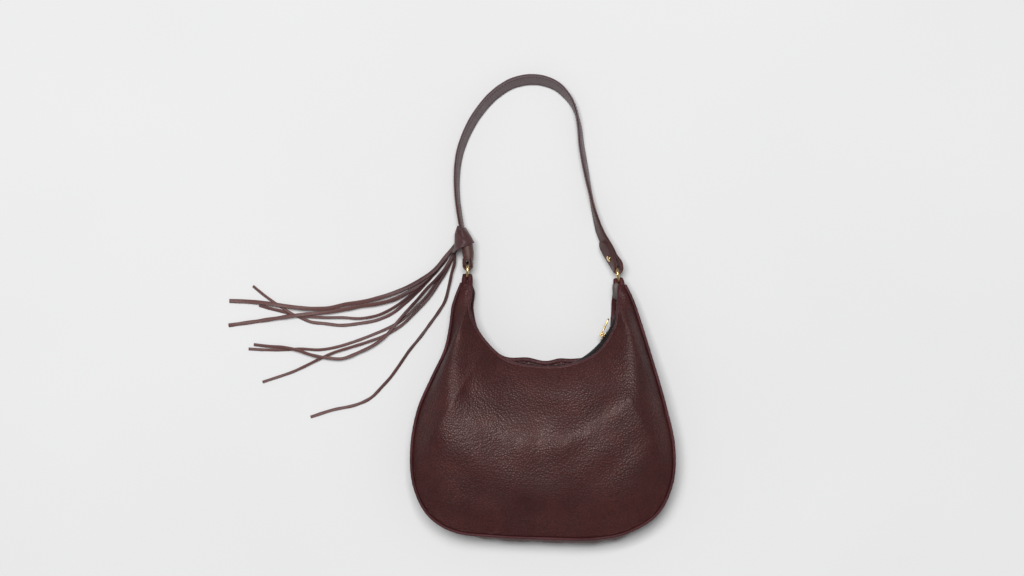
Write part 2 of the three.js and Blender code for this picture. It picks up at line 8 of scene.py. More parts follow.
import bmesh
import bpy
import numpy as np
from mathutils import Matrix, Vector


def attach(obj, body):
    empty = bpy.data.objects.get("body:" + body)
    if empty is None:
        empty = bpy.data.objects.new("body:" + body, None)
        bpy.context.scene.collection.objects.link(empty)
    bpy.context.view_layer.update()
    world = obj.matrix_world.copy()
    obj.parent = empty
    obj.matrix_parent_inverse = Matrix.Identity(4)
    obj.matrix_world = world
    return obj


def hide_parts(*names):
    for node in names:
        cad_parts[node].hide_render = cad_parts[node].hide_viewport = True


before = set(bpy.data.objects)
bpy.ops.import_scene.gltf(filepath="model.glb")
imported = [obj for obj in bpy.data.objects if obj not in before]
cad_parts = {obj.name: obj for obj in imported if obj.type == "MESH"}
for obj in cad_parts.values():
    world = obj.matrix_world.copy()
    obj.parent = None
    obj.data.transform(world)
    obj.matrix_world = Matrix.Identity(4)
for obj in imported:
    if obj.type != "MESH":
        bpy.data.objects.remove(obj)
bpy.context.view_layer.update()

MM = 0.001

# ---- driving dimensions, as in the CAD model ----
MID_Z = 22.0
LEATHER = 2.0
SEAM_TOP_Z, SEAM_LOW_Z = 46.0, 10.0
BULGE = 30.0
HORN_HALF = 7.0
MOUTH_HALF, HORN_MOUTH_HALF = 17.0, 8.5
PIPE_RADIUS, PIPE_INSET = 1.8, 2.1
PANEL_INSET = 4.0
BINDING_THICK = 3.2
NECK_CENTRE = np.array([2.0, 182.0])
ZIP_CENTRE = np.array([-1.2, 179.0])
ZIP_RADIUS = 87.8
ZIP_START, ZIP_END = -168.0, -12.0
ZIP_GAP_HALF, TOOTH_WIDTH = 2.5, 2.4
ROW_OUTER = ZIP_GAP_HALF + TOOTH_WIDTH
SLIDER_ANGLE = -35.0
PULL_ANGLE = 66.0
RING_RADIUS, WIRE_RADIUS = 9.5, 1.4
RING_LEFT, RING_RIGHT = np.array([-86.0, 204.5]), np.array([85.0, 199.8])
RING_RIGHT_TILT = 10.0
STRAP_WIDTH, STRAP_THICK = 18.0, 3.5
LAYER_GAP = 0.3
LOOP_WIDTH = 8.4

# ---- driving dimensions of the visual model only ----
NECK_RADIUS, NECK_LENGTH = 87.8, 280.0
NECK_LAP = 1.4                # front panel's edge inside the neck binding
HORN_NARROWED, HORN_FLATTENED = 0.10, 0.22
LINING_INSET = 9.0
CLOTH_THICK = 0.7


# ---- small helpers ----
def mix(a, b, t):
    return a + (b - a) * t


def ramp(lo, hi, x):
    t = np.clip((np.asarray(x, float) - lo) / (hi - lo), 0, 1)
    return t * t * (3 - 2 * t)


def unit(v):
    return v / np.linalg.norm(v, axis=-1, keepdims=True)


def with_z(xy, z):
    return np.concatenate([xy, np.broadcast_to(z, xy.shape[:-1])[..., None]], axis=-1)


def hump(x, centre, width, power=2):
    """Smooth rise to 1 at the centre; a high power makes it flat-topped."""
    return np.exp(-((x - centre) / width) ** power)


def outward(angle):
    """Unit vector in plan at an angle in degrees."""
    turn = math.radians(angle)
    return np.array([math.cos(turn), math.sin(turn), 0.0])


def circle_turns(count):
    return np.linspace(0, 2 * math.pi, count, endpoint=False)


def ripple(points, wavelength, seed, waves=7):
    """Smooth pseudo-random value in about -1..1 at each point, the same on every run."""
    rng = np.random.default_rng(seed)
    total = np.zeros(points.shape[:-1])
    for _ in range(waves):
        direction = unit(rng.normal(size=points.shape[-1]))
        wave = 2 * math.pi / (wavelength * rng.uniform(0.7, 1.5))
        total += np.sin(points @ direction * wave + rng.uniform(0, 2 * math.pi))
    return total / math.sqrt(waves * 2)


def ripple_along(distance, wavelength, seed):
    """The same along an edge, read by distance."""
    return ripple(np.stack([distance, np.zeros_like(distance)], axis=-1), wavelength, seed)


class Spline:
    """Centripetal curve through points, read by distance. Extra columns follow the same points."""

    def __init__(self, points, extra=None, steps=40):
        p = np.asarray(points, float)
        e = np.zeros((len(p), 1)) if extra is None else np.asarray(extra, float).reshape(len(p), -1)
        padded = np.vstack([2 * p[0] - p[1], p, 2 * p[-1] - p[-2]])
        riders = np.vstack([2 * e[0] - e[1], e, 2 * e[-1] - e[-2]])
        t = np.linspace(0, 1, steps, endpoint=False)[:, None]
        places, values = [], []
        for i in range(len(p) - 1):
            a, b, c, d = padded[i:i + 4]
            gaps = [math.sqrt(np.linalg.norm(y - x)) for x, y in ((a, b), (b, c), (c, d))]
            start = ((b - a) / gaps[0] - (c - a) / (gaps[0] + gaps[1]) + (c - b) / gaps[1]) * gaps[1]
            end = ((c - b) / gaps[1] - (d - b) / (gaps[1] + gaps[2]) + (d - c) / gaps[2]) * gaps[1]
            places.append(self.hermite(b, c, start, end, t))
            ra, rb, rc, rd = riders[i:i + 4]
            values.append(self.hermite(rb, rc, (rc - ra) / 2, (rd - rb) / 2, t))
        self.points = np.vstack(places + [p[-1:]])
        self.extra = np.vstack(values + [e[-1:]])
        lengths = np.linalg.norm(np.diff(self.points, axis=0), axis=1)
        self.marks = np.concatenate([[0], np.cumsum(lengths)])
        self.length = self.marks[-1]
        self.tangents = unit(np.gradient(self.points, axis=0))

    @staticmethod
    def hermite(b, c, start, end, t):
        square = 3 * (c - b) - 2 * start - end
        cube = 2 * (b - c) + start + end
        return b + start * t + square * t ** 2 + cube * t ** 3

    def read(self, table, distance):
        d = np.asarray(distance, float)
        return np.stack([np.interp(d, self.marks, table[:, k]) for k in range(table.shape[1])], axis=-1)

    def at(self, distance):
        """Point and tangent, continued straight past both ends."""
        d = np.asarray(distance, float)
        inside = np.clip(d, 0, self.length)
        tangent = unit(self.read(self.tangents, inside))
        return self.read(self.points, inside) + tangent * (d - inside)[..., None], tangent


# ---- meshes ----
def make_mesh(name, shape, material, body, replaces=()):
    """Named piece from (points in mm, faces) that rides a body."""
    points, faces = shape
    mesh = bpy.data.meshes.new(name)
    mesh.from_pydata((np.asarray(points, float) * MM).tolist(), [], [tuple(f) for f in faces])
    mesh.update()
    mesh.validate()
    piece = bpy.data.objects.new(name, mesh)
    bpy.context.scene.collection.objects.link(piece)
    face_outward(mesh)
    mesh.polygons.foreach_set("use_smooth", [True] * len(mesh.polygons))
    mesh.materials.append(material)
    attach(piece, body)
    if replaces:
        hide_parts(*replaces)
    return piece


def face_outward(mesh):
    work = bmesh.new()
    work.from_mesh(mesh)
    bmesh.ops.recalc_face_normals(work, faces=work.faces[:])
    work.to_mesh(mesh)
    work.free()


def loft(sections, closed=False, caps=True):
    """Quads between rings of points, shape (count, ring, 3). Ends are capped unless closed."""
    count, ring = sections.shape[:2]
    faces = []
    for i in range(count if closed else count - 1):
        here, there = i * ring, ((i + 1) % count) * ring
        for k in range(ring):
            n = (k + 1) % ring
            faces.append((here + k, here + n, there + n, there + k))
    if caps and not closed:
        faces.append(tuple(range(ring)))
        faces.append(tuple(range((count - 1) * ring, count * ring)))
    return sections.reshape(-1, 3), faces


def shell(outer, inner):
    """Closed thin shell between two grids of the same shape (rows, columns, 3)."""
    rows, cols = outer.shape[:2]
    ring = np.concatenate([outer, inner[:, ::-1]], axis=1)
    points, faces = loft(ring, caps=False)
    for row in (0, rows - 1):
        base = row * 2 * cols
        for k in range(cols - 1):
            faces.append((base + k, base + k + 1, base + 2 * cols - 2 - k, base + 2 * cols - 1 - k))
    return points, faces


def merge(parts):
    points, faces, base = [], [], 0
    for part_points, part_faces in parts:
        points.append(part_points)
        faces.extend(tuple(i + base for i in f) for f in part_faces)
        base += len(part_points)
    return np.vstack(points), faces


def tube(centres, radius, sides, up=(0.0, 0.0, 1.0)):
    """Round tube along points."""
    tangent = unit(np.gradient(centres, axis=0))
    side = unit(np.cross(tangent, up))
    top = np.cross(side, tangent)
    turn = circle_turns(sides)[None, :, None]
    radius = np.broadcast_to(radius, (len(centres),))[:, None, None]
    offset = np.cos(turn) * side[:, None] + np.sin(turn) * top[:, None]
    return loft(centres[:, None] + offset * radius)


def superellipse(half_x, half_y, count, power=3.0):
    """Rounded rectangle outline as (count, 2) offsets."""
    turn = circle_turns(count) + math.pi / count
    c, s = np.cos(turn), np.sin(turn)
    return np.stack([half_x * np.sign(c) * np.abs(c) ** (2 / power),
                     half_y * np.sign(s) * np.abs(s) ** (2 / power)], axis=-1)


# Shape of a stitch along its length: place as a share of the length, share of the width.
STITCH_PROFILE = ((-0.5, 0.25), (-0.42, 0.75), (-0.2, 1.0), (0.2, 1.0), (0.42, 0.75), (0.5, 0.25))


def stitches(places, along, normal, length=2.4, width=0.55, rise=0.22):
    """Row of thread stitches: small domed capsules on a surface."""
    turn = circle_turns(6)[:, None]
    parts = []
    for p, t, n in zip(places, along, normal):
        circle = np.cos(turn) * np.cross(n, t) + np.sin(turn) * n
        rings = []
        for step, size in STITCH_PROFILE:
            centre = p + t * (length * step) + n * rise * (1 - 3.2 * step ** 2)
            rings.append(centre + circle * width / 2 * size)
        parts.append(loft(np.array(rings)))
    return merge(parts)


# ---- body outlines ----
OUTLINE = Spline([
    (-95, 191.5), (-104, 165), (-107.5, 140), (-113, 115), (-128, 83), (-143, 48), (-151, 4),
    (-148, -40), (-131, -74), (-102, -92.5), (-55, -98.5), (0, -101), (58, -101.5), (96, -94),
    (131, -72), (148, -36), (150, 5), (140, 52), (123, 111), (105, 168), (95.5, 189.5),
])


def on_arc(centre, radius, angle):
    turn = np.radians(angle)
    return centre + np.stack([radius * np.cos(turn), radius * np.sin(turn)], axis=-1)


def neck_angle(u):
    return mix(-186.5, 3.4, u)


def neck_radius(angle):
    """Nearly round: flatter at the bottom, wider at both lower corners, drawn in at the horns."""
    corners = 3.2 * hump(angle, -49, 15) + 1.4 * hump(angle, -122, 11)
    horns = 5.2 * (1 - ramp(-180, -162, angle) + ramp(-28, -8, angle))
    return NECK_RADIUS + corners - 2.2 * hump(angle, -93, 15) - horns


def neck_point(u, out=0.0):
    angle = neck_angle(u)
    return on_arc(NECK_CENTRE, neck_radius(angle) + out, angle)


def outline_point(u, inset=0.0):
    point, tangent = OUTLINE.at(np.asarray(u) * OUTLINE.length)
    inward = np.stack([-tangent[..., 1], tangent[..., 0]], axis=-1)
    return point + inward * np.asarray(inset)[..., None]


def body_width(u):
    return np.linalg.norm(outline_point(u) - neck_point(u), axis=-1)


def seam_top(u):
    return mix(MID_Z + HORN_HALF, SEAM_TOP_Z, ramp(14, 95, body_width(u)))


def seam_low(u):
    return mix(MID_Z - HORN_HALF, SEAM_LOW_Z, ramp(14, 95, body_width(u)))


def mouth_half(u):
    return mix(HORN_MOUTH_HALF, MOUTH_HALF, ramp(16, 70, body_width(u)))


def neck_wave(u):
    """Small waves of the front neck edge, the same for the panel, its binding and its stitches."""
    return 0.35 * ripple_along(u * NECK_LENGTH, 11, 6)


def draw_in(points, u):
    """Gathers every layer of the body towards the leather loop at each horn tip."""
    from_tip = np.minimum(u, 1 - u) * OUTLINE.length
    pull = 1 - ramp(-6, 17, from_tip)
    middle = (outline_point(u) + neck_point(u)) / 2
    out = points.copy()
    out[..., :2] = middle + (points[..., :2] - middle) * (1 - HORN_NARROWED * pull)[..., None]
    out[..., 2] = MID_Z + (points[..., 2] - MID_Z) * (1 - HORN_FLATTENED * pull)
    return out


def body_grid(rows, columns=300):
    """u and v over the panels; rows crowd towards the seam and the neck."""
    t = np.linspace(0, 1, rows)
    v = mix(t, (1 - np.cos(math.pi * t)) / 2, 0.75)
    return np.meshgrid(np.linspace(0, 1, columns), v, indexing="ij")


def panel_xy(u, v, inset=0.0):
    outer = outline_point(u, PANEL_INSET + inset)
    inner = neck_point(u, NECK_LAP + inset * 0.3)
    return mix(outer, inner, v[..., None])


# Soft ridges of the front panel: from, to (x, y), width, height.
FOLDS = [
    ((-92, 170), (-118, 30), 15, 2.0),
    ((-80, 165), (-84, 70), 10, -2.0),
    ((20, 8), (96, 62), 15, 3.2),
    ((60, -30), (118, 20), 16, -2.2),
    ((-125, -10), (-60, 30), 20, 1.8),
    ((-110, -62), (-60, -72), 12, 1.6),
    ((92, 160), (104, 95), 11, 1.0),
    ((70, 130), (92, 70), 10, -1.8),
    ((-40, 60), (40, 62), 13, -1.6),
    ((-20, -70), (70, -78), 12, -1.2),
]


def fold_height(xy):
    total = np.zeros(xy.shape[:-1])
    for start, end, width, height in FOLDS:
        a, b = np.array(start, float), np.array(end, float)
        share = np.clip(((xy - a) @ (b - a)) / ((b - a) @ (b - a)), 0, 1)
        nearest = a + share[..., None] * (b - a)
        total += height * hump(np.linalg.norm(xy - nearest, axis=-1), 0, width)
    return total


def front_z(u, v, xy):
    """Height of the front panel: a dome, soft folds, puckers at the seam and waves at the neck."""
    width = body_width(u)
    from_seam, from_neck = v * width, (1 - v) * width
    base = mix(seam_top(u) + 1, MID_Z + mouth_half(u) + 1, v)
    dome = np.sin(math.pi * np.clip(v, 0, 1) ** 1.12) ** 0.92
    size = np.minimum(1, width / 165) ** 1.3
    loose = np.sin(math.pi * v) ** 0.8
    folds = fold_height(xy) * loose * np.minimum(1, width / 60) + 0.9 * ripple(xy, 55, 11) * loose
    pucker = hump(from_seam, 0, 7) * (1 - hump(from_seam, 0, 1.2))
    hem = hump(from_neck, 0, 8) * (1 - ramp(0.6, 0, from_neck))
    edges = 0.5 * pucker * ripple_along(u * OUTLINE.length, 9, 5) + hem * neck_wave(u)
    return base + BULGE * size * dome + folds + edges


def back_z(u, v, xy):
    """Height of the back panel: flat on the floor, rising to the seam and the neck."""
    width = body_width(u)
    flat = mix(MID_Z - HORN_HALF - 1, 0, ramp(20, 80, width))
    at_seam = (seam_low(u) - 1 - flat) * (1 - ramp(0, 0.14, v))
    at_neck = (MID_Z - mouth_half(u) - 1 - flat) * ramp(0.84, 1, v)
    lifted = (1 - ramp(0, 0.2, v) + ramp(0.78, 1, v)) * 0.4 * ripple(xy, 24, 21)
    return np.maximum(flat + at_seam + at_neck + lifted, 0)


def front_panel(material):
    u, v = body_grid(64)
    xy = panel_xy(u, v)
    z = front_z(u, v, xy)
    outer = draw_in(with_z(xy, z), u)
    inner = draw_in(with_z(panel_xy(u, v, 0.4), z - LEATHER), u)
    make_mesh("front_panel_skin", shell(outer, inner), material, "bag", ["front_panel"])


def back_wave(u):
    """How far the slack back edge stands out past the front edge: two waves, and a lip at each horn."""
    x = neck_point(u)[..., 0]
    slack = 4.6 * hump(x, 2, 42, 6)
    waves = 3.0 * hump(x, -19, 14) + 3.0 * hump(x, 20, 11)
    left_lip = 3.4 * ramp(0.2, 0.11, u) * ramp(0.0, 0.05, u)
    right_lip = 5.2 * ramp(0.795, 0.865, u) * ramp(1.0, 0.96, u)
    return slack + waves + left_lip + right_lip


def back_panel(material):
    u, v = body_grid(40)
    outer_edge = outline_point(u, PANEL_INSET)
    neck = neck_point(u, NECK_LAP - back_wave(u))
    xy = mix(outer_edge, neck, v[..., None])
    z = back_z(u, v, xy)
    outer = draw_in(with_z(xy, z), u)
    inner = draw_in(with_z(xy, z + LEATHER), u)
    make_mesh("back_panel_skin", shell(inner, outer), material, "bag", ["back_panel"])


BASE_MIDDLE = 12.0


def base_share(u):
    """1 along the middle of the base, fading to 0 at its corners: where the gusset sags outward."""
    place = outline_point(u)
    return ramp(110, 60, np.abs(place[..., 0] - BASE_MIDDLE)) * ramp(-70, -90, place[..., 1])


def gusset(side, start, end, material):
    """Half of the gusset, from one horn tip to the seam under the base."""
    u, s = np.meshgrid(np.linspace(start, end, 180), np.linspace(0, 1, 16), indexing="ij")
    low, high = seam_low(u) + PIPE_RADIUS * 0.6, seam_top(u) - PIPE_RADIUS * 0.6
    slump = 4.6 * base_share(u)
    bow = 2.6 * (1 - np.sin(math.pi * s)) - slump * np.sin(math.pi * np.clip(s * 1.1, 0, 1))
    places = np.stack([u * OUTLINE.length, s * (high - low) * 0.6], axis=-1)
    crease = 0.54 * np.sin(math.pi * s) * ripple(places, 26, 31)
    seam = 0.5 * hump((u - 0.5) * OUTLINE.length, 0, 1.6)
    depth = np.maximum(bow + crease + 0.5, -slump) + seam
    outer = draw_in(with_z(outline_point(u, depth), mix(low, high, s)), u)
    inner = draw_in(with_z(outline_point(u, depth + LEATHER), mix(low, high, s)), u)
    name = f"gusset_{side}"
    make_mesh(f"{name}_skin", shell(outer, inner), material, "bag", [name])


def piping(face, height, material):
    u = np.linspace(0.0015, 0.9985, 620)
    centres = draw_in(with_z(outline_point(u, PIPE_INSET), height(u)), u)
    wobble = 1 + 0.05 * ripple(u[:, None] * OUTLINE.length, 7, 41)
    cord = tube(centres, PIPE_RADIUS * wobble, 14)
    make_mesh(f"{face}_piping_cord", cord, material, "bag", [f"{face}_piping"])


# Folded binding: outline of the strip in (out of the neck edge, above the edge's middle).
BINDING_SECTION = np.array([
    (5.0, 1.85), (3.6, 1.95), (2.0, 1.95), (0.9, 1.7), (0.2, 1.0), (0.0, 0.0),
    (0.2, -1.0), (0.9, -1.7), (2.0, -1.95), (3.6, -1.95), (5.0, -1.85),
    (4.9, -1.15), (3.0, -1.1), (1.5, -1.1), (1.1, -0.6), (1.0, 0.0),
    (1.1, 0.6), (1.5, 1.1), (3.0, 1.1), (4.9, 1.15),
])
STITCH_PITCH = 3.4
STITCH_OUT, STITCH_RISE = 3.9, 1.93


def neck_binding(face, side, material, thread):
    """Folded strip round one neck edge, and its row of stitches."""
    back = face == "back"
    u, k = np.meshgrid(np.linspace(0.0, 1.0, 420), np.arange(len(BINDING_SECTION)), indexing="ij")
    swell = 1 + 0.05 * ripple(u[..., None] * NECK_LENGTH, 6, 51 + side)
    out = BINDING_SECTION[k, 0] - (back_wave(u) if back else 0)
    z = MID_Z + side * mouth_half(u) + BINDING_SECTION[k, 1] * swell + (0 if back else neck_wave(u))
    points = draw_in(with_z(neck_point(u, out), z), u)
    name = f"{face}_neck_binding"
    strip = shell(points[:, :10], points[:, 19:9:-1])
    make_mesh(f"{name}_strip", strip, material, "bag", [name])
    at = np.arange(0.02, 0.98, STITCH_PITCH / NECK_LENGTH)
    offset = STITCH_OUT - (back_wave(at) if back else 0)
    level = MID_Z + side * (mouth_half(at) + STITCH_RISE) + (0 if back else neck_wave(at))
    places = draw_in(with_z(neck_point(at, offset), level), at)
    along = unit(np.gradient(places, axis=0))
    normal = np.tile([0.0, 0.0, float(side)], (len(at), 1))
    make_mesh(f"{name}_thread", stitches(places, along, normal), thread, "bag", ())


# ---- zip ----
def neck_share(xy):
    """The place along the neck that faces a point of the zip."""
    offset = xy - NECK_CENTRE
    angle = np.degrees(np.arctan2(offset[..., 1], offset[..., 0]))
    angle = np.where(angle > 90, angle - 360, angle)
    return np.clip((angle - neck_angle(0.0)) / (neck_angle(1.0) - neck_angle(0.0)), 0, 1)


def zip_place(radius_offset, angle, z):
    return with_z(on_arc(ZIP_CENTRE, ZIP_RADIUS + radius_offset, angle), z)


def zip_tape(face, side, material):
    angle, t = np.meshgrid(np.linspace(ZIP_START, ZIP_END, 200), np.linspace(0, 1, 10), indexing="ij")
    row = on_arc(ZIP_CENTRE, ZIP_RADIUS, angle)
    u = neck_share(row)
    hem = neck_point(u, 1.6 - (back_wave(u) * 0.2 if face == "back" else 0))
    edge = mouth_half(u) - BINDING_THICK / 2 - 0.3
    xy = mix(row, hem, ramp(0, 1, t)[..., None] * 0.6 + t[..., None] * 0.4)
    z = MID_Z + side * mix(ROW_OUTER + 0.2, edge, t)
    sag = 0.5 * np.sin(math.pi * t) * ripple(np.stack([angle * 1.45, t * 6], axis=-1), 16, 61)
    radial = unit(xy - ZIP_CENTRE)
    half_thick = CLOTH_THICK / 2
    outer = with_z(xy + radial * (half_thick + sag)[..., None], z)
    inner = with_z(xy + radial * (-half_thick + sag)[..., None], z)
    name = f"zip_tape_{face}"
    make_mesh(f"{name}_cloth", shell(outer, inner), material, "bag", [name])


TOOTH_PITCH = 1.55
# One loop of the coil: share of its way across the row, thickness.
TOOTH_PROFILE = ((0.0, 0.55), (0.12, 1.15), (0.35, 1.25), (0.7, 1.0), (0.95, 0.9), (1.0, 0.5))


def zip_teeth(face, side, material):
    """Nylon coil: one rounded loop for each tooth, on a thin carrier cord."""
    section = superellipse(0.5, 0.5, 8, 2.4)
    parts = []
    for angle in np.arange(ZIP_START + 0.3, ZIP_END - 0.3, math.degrees(TOOTH_PITCH / ZIP_RADIUS)):
        loop = section[:, :1] * 1.35 * outward(angle + 90) + section[:, 1:] * 2.3 * outward(angle)
        rings = []
        for share, thick in TOOTH_PROFILE:
            across = ZIP_GAP_HALF + share * (TOOTH_WIDTH - 0.1)
            rings.append(zip_place(0, angle, MID_Z + side * across) + loop * thick)
        parts.append(loft(np.array(rings)))
    sweep = np.linspace(ZIP_START, ZIP_END, 160)
    parts.append(tube(zip_place(0, sweep, MID_Z + side * (ROW_OUTER - 0.45)), 0.42, 8))
    name = f"zip_teeth_{face}"
    make_mesh(f"{name}_coil", merge(parts), material, "bag", [name])


def rounded_block(half, radius):
    """Block with rounded edges as a stack of rounded rectangles along its third axis."""
    hx, hy, hz = half
    soft = radius * 0.3
    stack = []
    for z, inset in ((-hz, radius), (soft - hz, soft), (radius - hz, 0),
                     (hz - radius, 0), (hz - soft, soft), (hz, radius)):
        stack.append(with_z(superellipse(hx - inset, hy - inset, 24, 7.0), z))
    return loft(np.array(stack))


def placed(part, turn_degrees, origin):
    points, faces = part
    turn = math.radians(turn_degrees)
    c, s = math.cos(turn), math.sin(turn)
    return points @ np.array([[c, s, 0], [-s, c, 0], [0, 0, 1]]) + origin, faces


def zip_stops(material):
    for face, side in (("front", 1), ("back", -1)):
        origin = zip_place(0, ZIP_START - 1.0, MID_Z + side * (ZIP_GAP_HALF + TOOTH_WIDTH / 2))
        block = placed(rounded_block((0.85, 1.5, 1.2), 0.4), ZIP_START - 91, origin)
        make_mesh(f"zip_top_stop_{face}_clip", block, material, "bag", [f"zip_top_stop_{face}"])
    origin = zip_place(0, ZIP_END + 1.5, MID_Z)
    block = placed(rounded_block((1.5, 1.6, ROW_OUTER), 0.5), ZIP_END + 91.5, origin)
    make_mesh("zip_bottom_stop_clip", block, material, "bag", ["zip_bottom_stop"])


TAB_FOOT_HALF, TAB_OUTER = 6.2, 0.6


def end_tab(name, start, end, inward, tip_half, material):
    """Leather tab folded over the zip's end, round at both ends and soft along its edges."""
    section = superellipse((inward + TAB_OUTER) / 2, 1.0, 24, 3.2)
    rings = []
    for s in np.linspace(0, 1, 40):
        angle = mix(start, end, s)
        soft = (1 - abs(2 * s - 1) ** 3.5 * 0.96) ** 0.5
        centre = zip_place((TAB_OUTER - inward * soft) / 2, angle, MID_Z)
        wide = section[:, :1] * soft * outward(angle)
        half = mix(TAB_FOOT_HALF, tip_half, s) * soft
        rings.append(with_z((centre + wide)[:, :2], MID_Z + section[:, 1] * half))
    make_mesh(f"{name}_leather", loft(np.array(rings)), material, "bag", [name])


PLATE_THICK, PLATE_CLEAR, PIN_RISE = 1.1, 1.7, 2.3
PLATE_LENGTH = 12.0
PIN_HEIGHT = PLATE_CLEAR + PLATE_THICK + PIN_RISE
PIN_HALF, ARCH_HALF = 2.6, 2.1


def slider_plate(level, width):
    """Slider plate: narrow neck at one end, flared shoulders at the other, soft edges."""
    rings = []
    for share in np.linspace(-1, 1, 22):
        flare = mix(0.74, 1.0, ramp(-0.9, 0.4, share))
        rounding = math.sqrt(max(0.0, 1 - max(0.0, abs(share) - 0.8) ** 2 * 18))
        section = superellipse(PLATE_THICK / 2, width / 2 * max(flare * rounding, 0.12), 20, 4.0)
        rings.append(np.column_stack([np.full(20, share * PLATE_LENGTH / 2), section + [level, 0]]))
    return loft(np.array(rings))


def zip_slider(material):
    """Two plates on a post, and two arches with the pin that holds the pull."""
    level = PLATE_CLEAR + PLATE_THICK / 2
    rings = []
    for x in np.linspace(-2.5, 2.5, 9):
        half = 1.4 * math.sqrt(max(0.05, 1 - (x / 2.6) ** 2))
        rings.append(np.column_stack([np.full(12, x), superellipse(PLATE_CLEAR + 0.5, half, 12, 3)]))
    parts = [
        slider_plate(level, 2 * ROW_OUTER + 2.2),
        slider_plate(-level, 2 * ROW_OUTER),
        loft(np.array(rings)),
    ]
    turn = np.linspace(0, math.pi, 15)
    arch_height = PLATE_CLEAR + PLATE_THICK * 0.8 + (PIN_RISE + 1.5) * np.sin(turn) ** 0.7
    for side in (-PIN_HALF, PIN_HALF):
        arch = np.column_stack([ARCH_HALF * np.cos(turn), arch_height, np.full(15, side)])
        parts.append(tube(arch, 0.6, 10))
    pin = np.column_stack([np.zeros(7), np.full(7, PIN_HEIGHT), np.linspace(-PIN_HALF, PIN_HALF, 7)])
    parts.append(tube(pin, 0.7, 14, up=(1.0, 0.0, 0.0)))
    body = placed(merge(parts), SLIDER_ANGLE + 90, zip_place(0, SLIDER_ANGLE, MID_Z))
    make_mesh("zip_slider_body", body, material, "zip_slider", ["zip_slider"])


PULL_START, PULL_LENGTH = 1.3, 20.0


def zip_pull(material):
    """Flat pull: an eye round the pin, and a blade that widens to a rounded tip."""
    turn = np.linspace(0.45, 2 * math.pi - 0.45, 26)
    eye = np.column_stack([1.5 * np.cos(turn), 1.5 * np.sin(turn), np.zeros(26)])
    rings = []
    for x in np.linspace(PULL_START, PULL_LENGTH, 40):
        half = mix(1.5, 2.1, ramp(PULL_START, 5, x)) if x < 5 else 2.1 + 0.9 * ramp(5, 15, x)
        half *= math.sqrt(np.clip(1 - np.clip((x - 17.6) / 2.42, 0, 1) ** 2.2, 0.02, 1))
        thick = mix(0.6, 1.0, ramp(3, 6, x))
        rings.append(np.column_stack([np.full(20, x), superellipse(thick, half, 20, 4.5)]))
    pin = zip_place(0, SLIDER_ANGLE, MID_Z) - outward(SLIDER_ANGLE) * PIN_HEIGHT
    blade = placed(merge([loft_wide(eye, 0.5, 1.5), loft(np.array(rings))]), PULL_ANGLE, pin)
    make_mesh("zip_pull_blade", blade, material, "zip_pull", ["zip_pull"])


def loft_wide(path, half_thick, half_wide):
    """Strip along a plan path, wide in z."""
    tangent = unit(np.gradient(path, axis=0))
    side = np.column_stack([-tangent[:, 1], tangent[:, 0], np.zeros(len(path))])
    section = superellipse(half_thick, half_wide, 14, 4.0)
    rings = path[:, None] + section[None, :, :1] * side[:, None]
    rings[..., 2] += section[:, 1]
    return loft(rings)


# ---- lining and pocket ----
def lining(face, material):
    u, v = np.meshgrid(np.linspace(0.14, 0.86, 110), np.linspace(0, 1, 30), indexing="ij")
    hem = neck_point(u, 4.8 + LINING_INSET * 0.3)
    xy = mix(outline_point(u, PANEL_INSET + LINING_INSET + 0.9), hem, v[..., None])
    slack = 0.6 * ripple(xy, 30, 71) * np.sin(math.pi * v)
    if face == "front":
        near = front_z(u, v, xy) - LEATHER - 2.2 + slack
        far = near - CLOTH_THICK
    else:
        near = back_z(u, v, xy) + LEATHER + 0.8 + np.abs(slack)
        far = near + CLOTH_THICK
    cloth = shell(with_z(xy, near), with_z(xy, far))
    make_mesh(f"lining_{face}_cloth", cloth, material, "bag", [f"lining_{face}"])


POCKET_HALF, POCKET_LOW, POCKET_HIGH, POCKET_BASE = 62.0, -50.0, 45.0, 5.6


def slip_pocket(material, thread):
    """Pocket sewn on three sides and slack along its open hem, with a row of stitches below the hem."""
    x, y = np.meshgrid(np.linspace(-POCKET_HALF, POCKET_HALF, 60), np.linspace(POCKET_LOW, POCKET_HIGH, 48),
                       indexing="ij")
    edge = np.minimum(np.minimum(POCKET_HALF - np.abs(x), y - POCKET_LOW), 8) / 8
    loose = ramp(POCKET_LOW, POCKET_HIGH, y) * np.cos(x / POCKET_HALF * math.pi / 2) ** 0.7
    uneven = 0.15 * ripple(np.stack([x, y], -1), 14, 81)
    z = POCKET_BASE + 1.2 * np.clip(edge, 0, 1) ** 0.5 + 3.2 * loose + uneven
    hem = 0.5 * hump(y, POCKET_HIGH - 4, 4, 4)
    outer = np.stack([x, y, z + hem], axis=-1)
    inner = np.stack([x, y, z - CLOTH_THICK - hem * 0.3], axis=-1)
    make_mesh("slip_pocket_cloth", shell(outer, inner), material, "bag", ["slip_pocket"])
    row = np.linspace(3 - POCKET_HALF, POCKET_HALF - 3, 40)
    places = np.column_stack([row, np.full(40, POCKET_HIGH - 9), np.interp(row, x[:, -1], z[:, -5]) + 0.2])
    along, normal = np.tile([1.0, 0.0, 0.0], (40, 1)), np.tile([0.0, 0.0, 1.0], (40, 1))
    seam = stitches(places, along, normal, 2.2, 0.4)
    make_mesh("slip_pocket_thread", seam, thread, "bag", ())


# ---- rings and loops ----
AXIS = RING_RIGHT - RING_LEFT
AXIS_ANGLE = math.degrees(math.atan2(AXIS[1], AXIS[0]))


